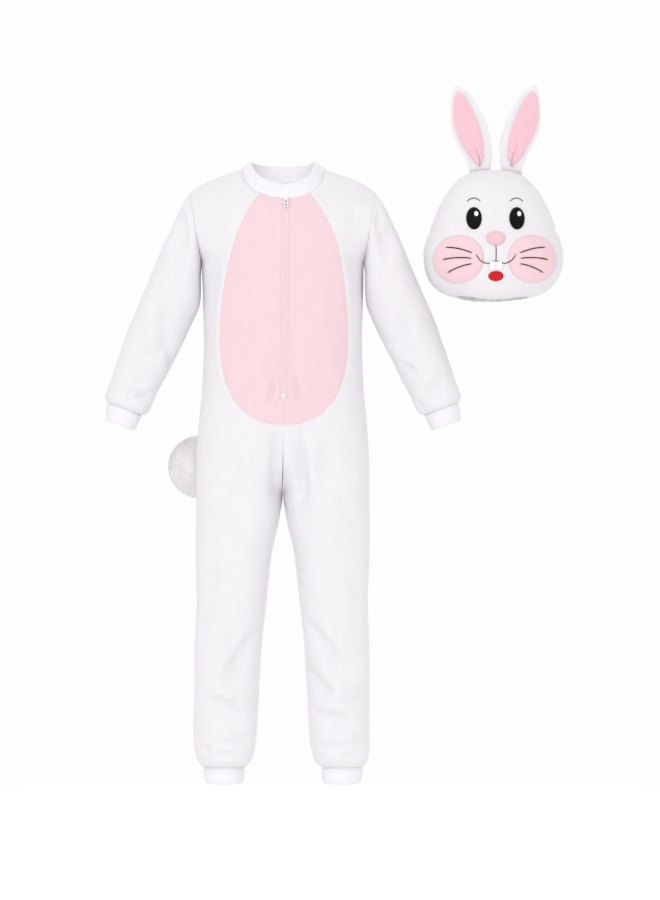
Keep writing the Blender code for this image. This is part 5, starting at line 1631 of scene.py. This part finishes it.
def teeth_build():
    """Two felt teeth side by side in the solid's box, each a little narrower below."""
    low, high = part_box("teeth")
    centre = (low + high) / 2
    width = (high.x - low.x) / 2 - 0.0002
    build = bmesh.new()
    for side, _ in SIDES:
        tooth = bmesh.ops.create_cube(build, size=1.0)["verts"]
        bmesh.ops.scale(build, verts=tooth, vec=(width, high.y - low.y - 0.0004, high.z - low.z))
        at = centre + Vector((side * (width / 2 + 0.0002), 0.0, 0.0))
        bmesh.ops.translate(build, verts=tooth, vec=at)
        for vert in tooth:
            if vert.co.z < centre.z:
                vert.co.x += (centre.x + side * width / 2 - vert.co.x) * 0.10
    bmesh.ops.bevel(
        build, geom=build.edges[:], offset=0.0013, segments=4, profile=0.6, affect="EDGES", clamp_overlap=True
    )
    return build


class CostumeFace(bpy.types.Operator):
    """Sews on the face: cheeks, eyes, nose, tongue and teeth, stitched lines and whiskers"""

    bl_idname = "costume.face"
    bl_label = "Face"

    def execute(self, context):
        sizes = context.scene.costume_head
        black = kept_material(satin_stitch, "black satin stitch", sizes.black)
        white = kept_material(felt, "white polyester felt", sizes.felt)
        cheek = kept_material(plush, "pink cheek plush", sizes.cheek_pink)
        nose = kept_material(plush, "pink nose plush", sizes.ear_pink)
        red = kept_material(felt, "red polyester felt", sizes.red)
        cloths = {
            "cheek": (cheek, "pink_plush"),
            "eye": (black, "black_embroidery"),
            "nose": (nose, "pink_plush"),
            "tongue": (red, "red_felt"),
        }
        for pad in FACE_PADS:
            material, slot = cloths[pad.name.split("_")[0]]
            made = place(f"sewn_{pad.name}", pad_build(pad), material, pad.name, slot=slot)
        for pad in FACE_PADS:
            if pad.name.startswith("eye"):
                glint = patch_on(
                    f"sewn_{pad.name}", HEAD_X + pad.x + 0.0036, pad.z + 0.0075,
                    half_width=0.0034, half_height=0.0042, lift=0.0005,
                )
                place(pad.name.replace("eye", "eye_glint"), glint, white, slot="white_felt")
        place("felt_teeth", teeth_build(), white, "teeth", slot="white_felt")

        skin = ["padded_head_front", "sewn_cheek_left", "sewn_cheek_right"]
        mirrored = [(line, side) for side, _ in SIDES for line in (MOUTH_LINE, BROW_LINE)]
        whiskers = [(line, side) for side, _ in SIDES for line in WHISKERS]
        for name, lines, width, lift, count in (
            ("face_lines", [(CHIN_LINE, RIGHT), *mirrored], sizes.line, 0.25, 34),
            ("whiskers", whiskers, sizes.whisker, 0.30, 30),
        ):
            build = bmesh.new()
            for line, side in lines:
                add_line(build, laid_on(skin, smooth_line(line, side, count), width * lift), width / 2)
            place(name, build, black, slot="black_embroidery")
        return {"FINISHED"}


def add_light(name, power, at, aim, width, height):
    """A soft card of light at a place, turned to its aim and unseen by the camera."""
    light = bpy.data.lights.new(name, "AREA")
    light.energy = power
    light.shape = "RECTANGLE"
    light.size, light.size_y = width, height
    made = bpy.data.objects.new(name, light)
    bpy.context.scene.collection.objects.link(made)
    made.location = at
    made.rotation_euler = (aim - at).to_track_quat("-Z", "Y").to_euler()
    made.visible_camera = False


class CostumeStudio(bpy.types.Operator):
    """Sets the camera at the photo's angle, the soft white light and the pale floor"""

    bl_idname = "costume.studio"
    bl_label = "Studio"

    def execute(self, context):
        scene = context.scene
        sizes = scene.costume_studio
        scene.view_settings.view_transform = "Standard"
        world = bpy.data.worlds.new("soft white room")
        scene.world = world
        world.use_nodes = True
        room = world.node_tree.nodes["Background"]
        room.inputs["Color"].default_value = (1.0, 1.0, 1.0, 1.0)
        room.inputs["Strength"].default_value = sizes.sky
        target = Vector((sizes.look_x, 0.0, sizes.look_z))
        for name, power, size, away in (
            ("key light", sizes.key, 2.2, (-0.1, -4.1, 0.2)),
            ("side light", sizes.side, 1.6, (-1.6, -2.6, 2.6)),
            ("back light", sizes.back, 2.2, (0.7, 4.0, 0.5)),
        ):
            add_light(name, power, target + Vector(away), target, size, size)
        neck, collar = Vector((0.005, -0.026, -0.050)), Vector((0.005, 0.045, -0.004))
        add_light("neck card", sizes.card, neck, collar, width=0.05, height=0.05)
        legs = Vector((0.0025, -0.010, -0.790))
        for side, side_name in SIDES:
            leg = legs + Vector((side, 0.0, 0.0))
            add_light(f"leg card {side_name}", sizes.leg_card, legs, leg, width=0.05, height=0.42)

        build = bmesh.new()
        bmesh.ops.create_circle(build, cap_ends=True, segments=96, radius=1.2)
        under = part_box("ankle_cuff_left")[0].z - sizes.floor_drop
        bmesh.ops.translate(build, verts=build.verts, vec=(0.08, 0.0, under))
        mesh = bpy.data.meshes.new("studio floor")
        build.to_mesh(mesh)
        build.free()
        mesh.materials.append(kept_material(studio_floor, "white studio vinyl", sizes.floor))
        floor = bpy.data.objects.new("studio floor", mesh)
        scene.collection.objects.link(floor)
        camera = bpy.data.cameras.new("photo camera")
        camera.lens = sizes.lens
        made = bpy.data.objects.new("photo camera", camera)
        scene.collection.objects.link(made)
        made.location = (sizes.look_x, -sizes.distance, sizes.look_z)
        made.rotation_euler = (math.radians(90.0), 0.0, 0.0)
        scene.camera = made
        return {"FINISHED"}


class CostumePanel(bpy.types.Panel):
    """Lists the steps that make the costume's looks"""

    bl_label = "Rabbit Costume"
    bl_idname = "VIEW3D_PT_rabbit_costume"
    bl_space_type = "VIEW_3D"
    bl_region_type = "UI"
    bl_category = "Rabbit Costume"

    def draw(self, context):
        for kind in OPERATORS:
            self.layout.operator(kind.bl_idname)


SIZE_GROUPS = {
    "costume_cloth": ClothSizes,
    "costume_zip": ZipSizes,
    "costume_tail": TailSizes,
    "costume_head": HeadSizes,
    "costume_studio": StudioSizes,
}
OPERATORS = (
    CostumeBody, CostumeSleeves, CostumeCuffs, CostumeCollar, CostumeZip, CostumeTail, CostumeHead,
    CostumeEars, CostumeFace, CostumeStudio,
)


def register():
    for kind in (*SIZE_GROUPS.values(), *OPERATORS, CostumePanel):
        bpy.utils.register_class(kind)
    for name, kind in SIZE_GROUPS.items():
        setattr(bpy.types.Scene, name, PointerProperty(type=kind))


def unregister():
    for name in SIZE_GROUPS:
        delattr(bpy.types.Scene, name)
    for kind in reversed((*SIZE_GROUPS.values(), *OPERATORS, CostumePanel)):
        bpy.utils.unregister_class(kind)


def main():
    register()
    bpy.ops.costume.body()
    bpy.ops.costume.sleeves()
    bpy.ops.costume.cuffs()
    bpy.ops.costume.collar()
    bpy.ops.costume.zip()
    bpy.ops.costume.tail()
    bpy.ops.costume.head()
    bpy.ops.costume.ears()
    bpy.ops.costume.face()
    bpy.ops.costume.studio()


if __name__ == "__main__":
    main()
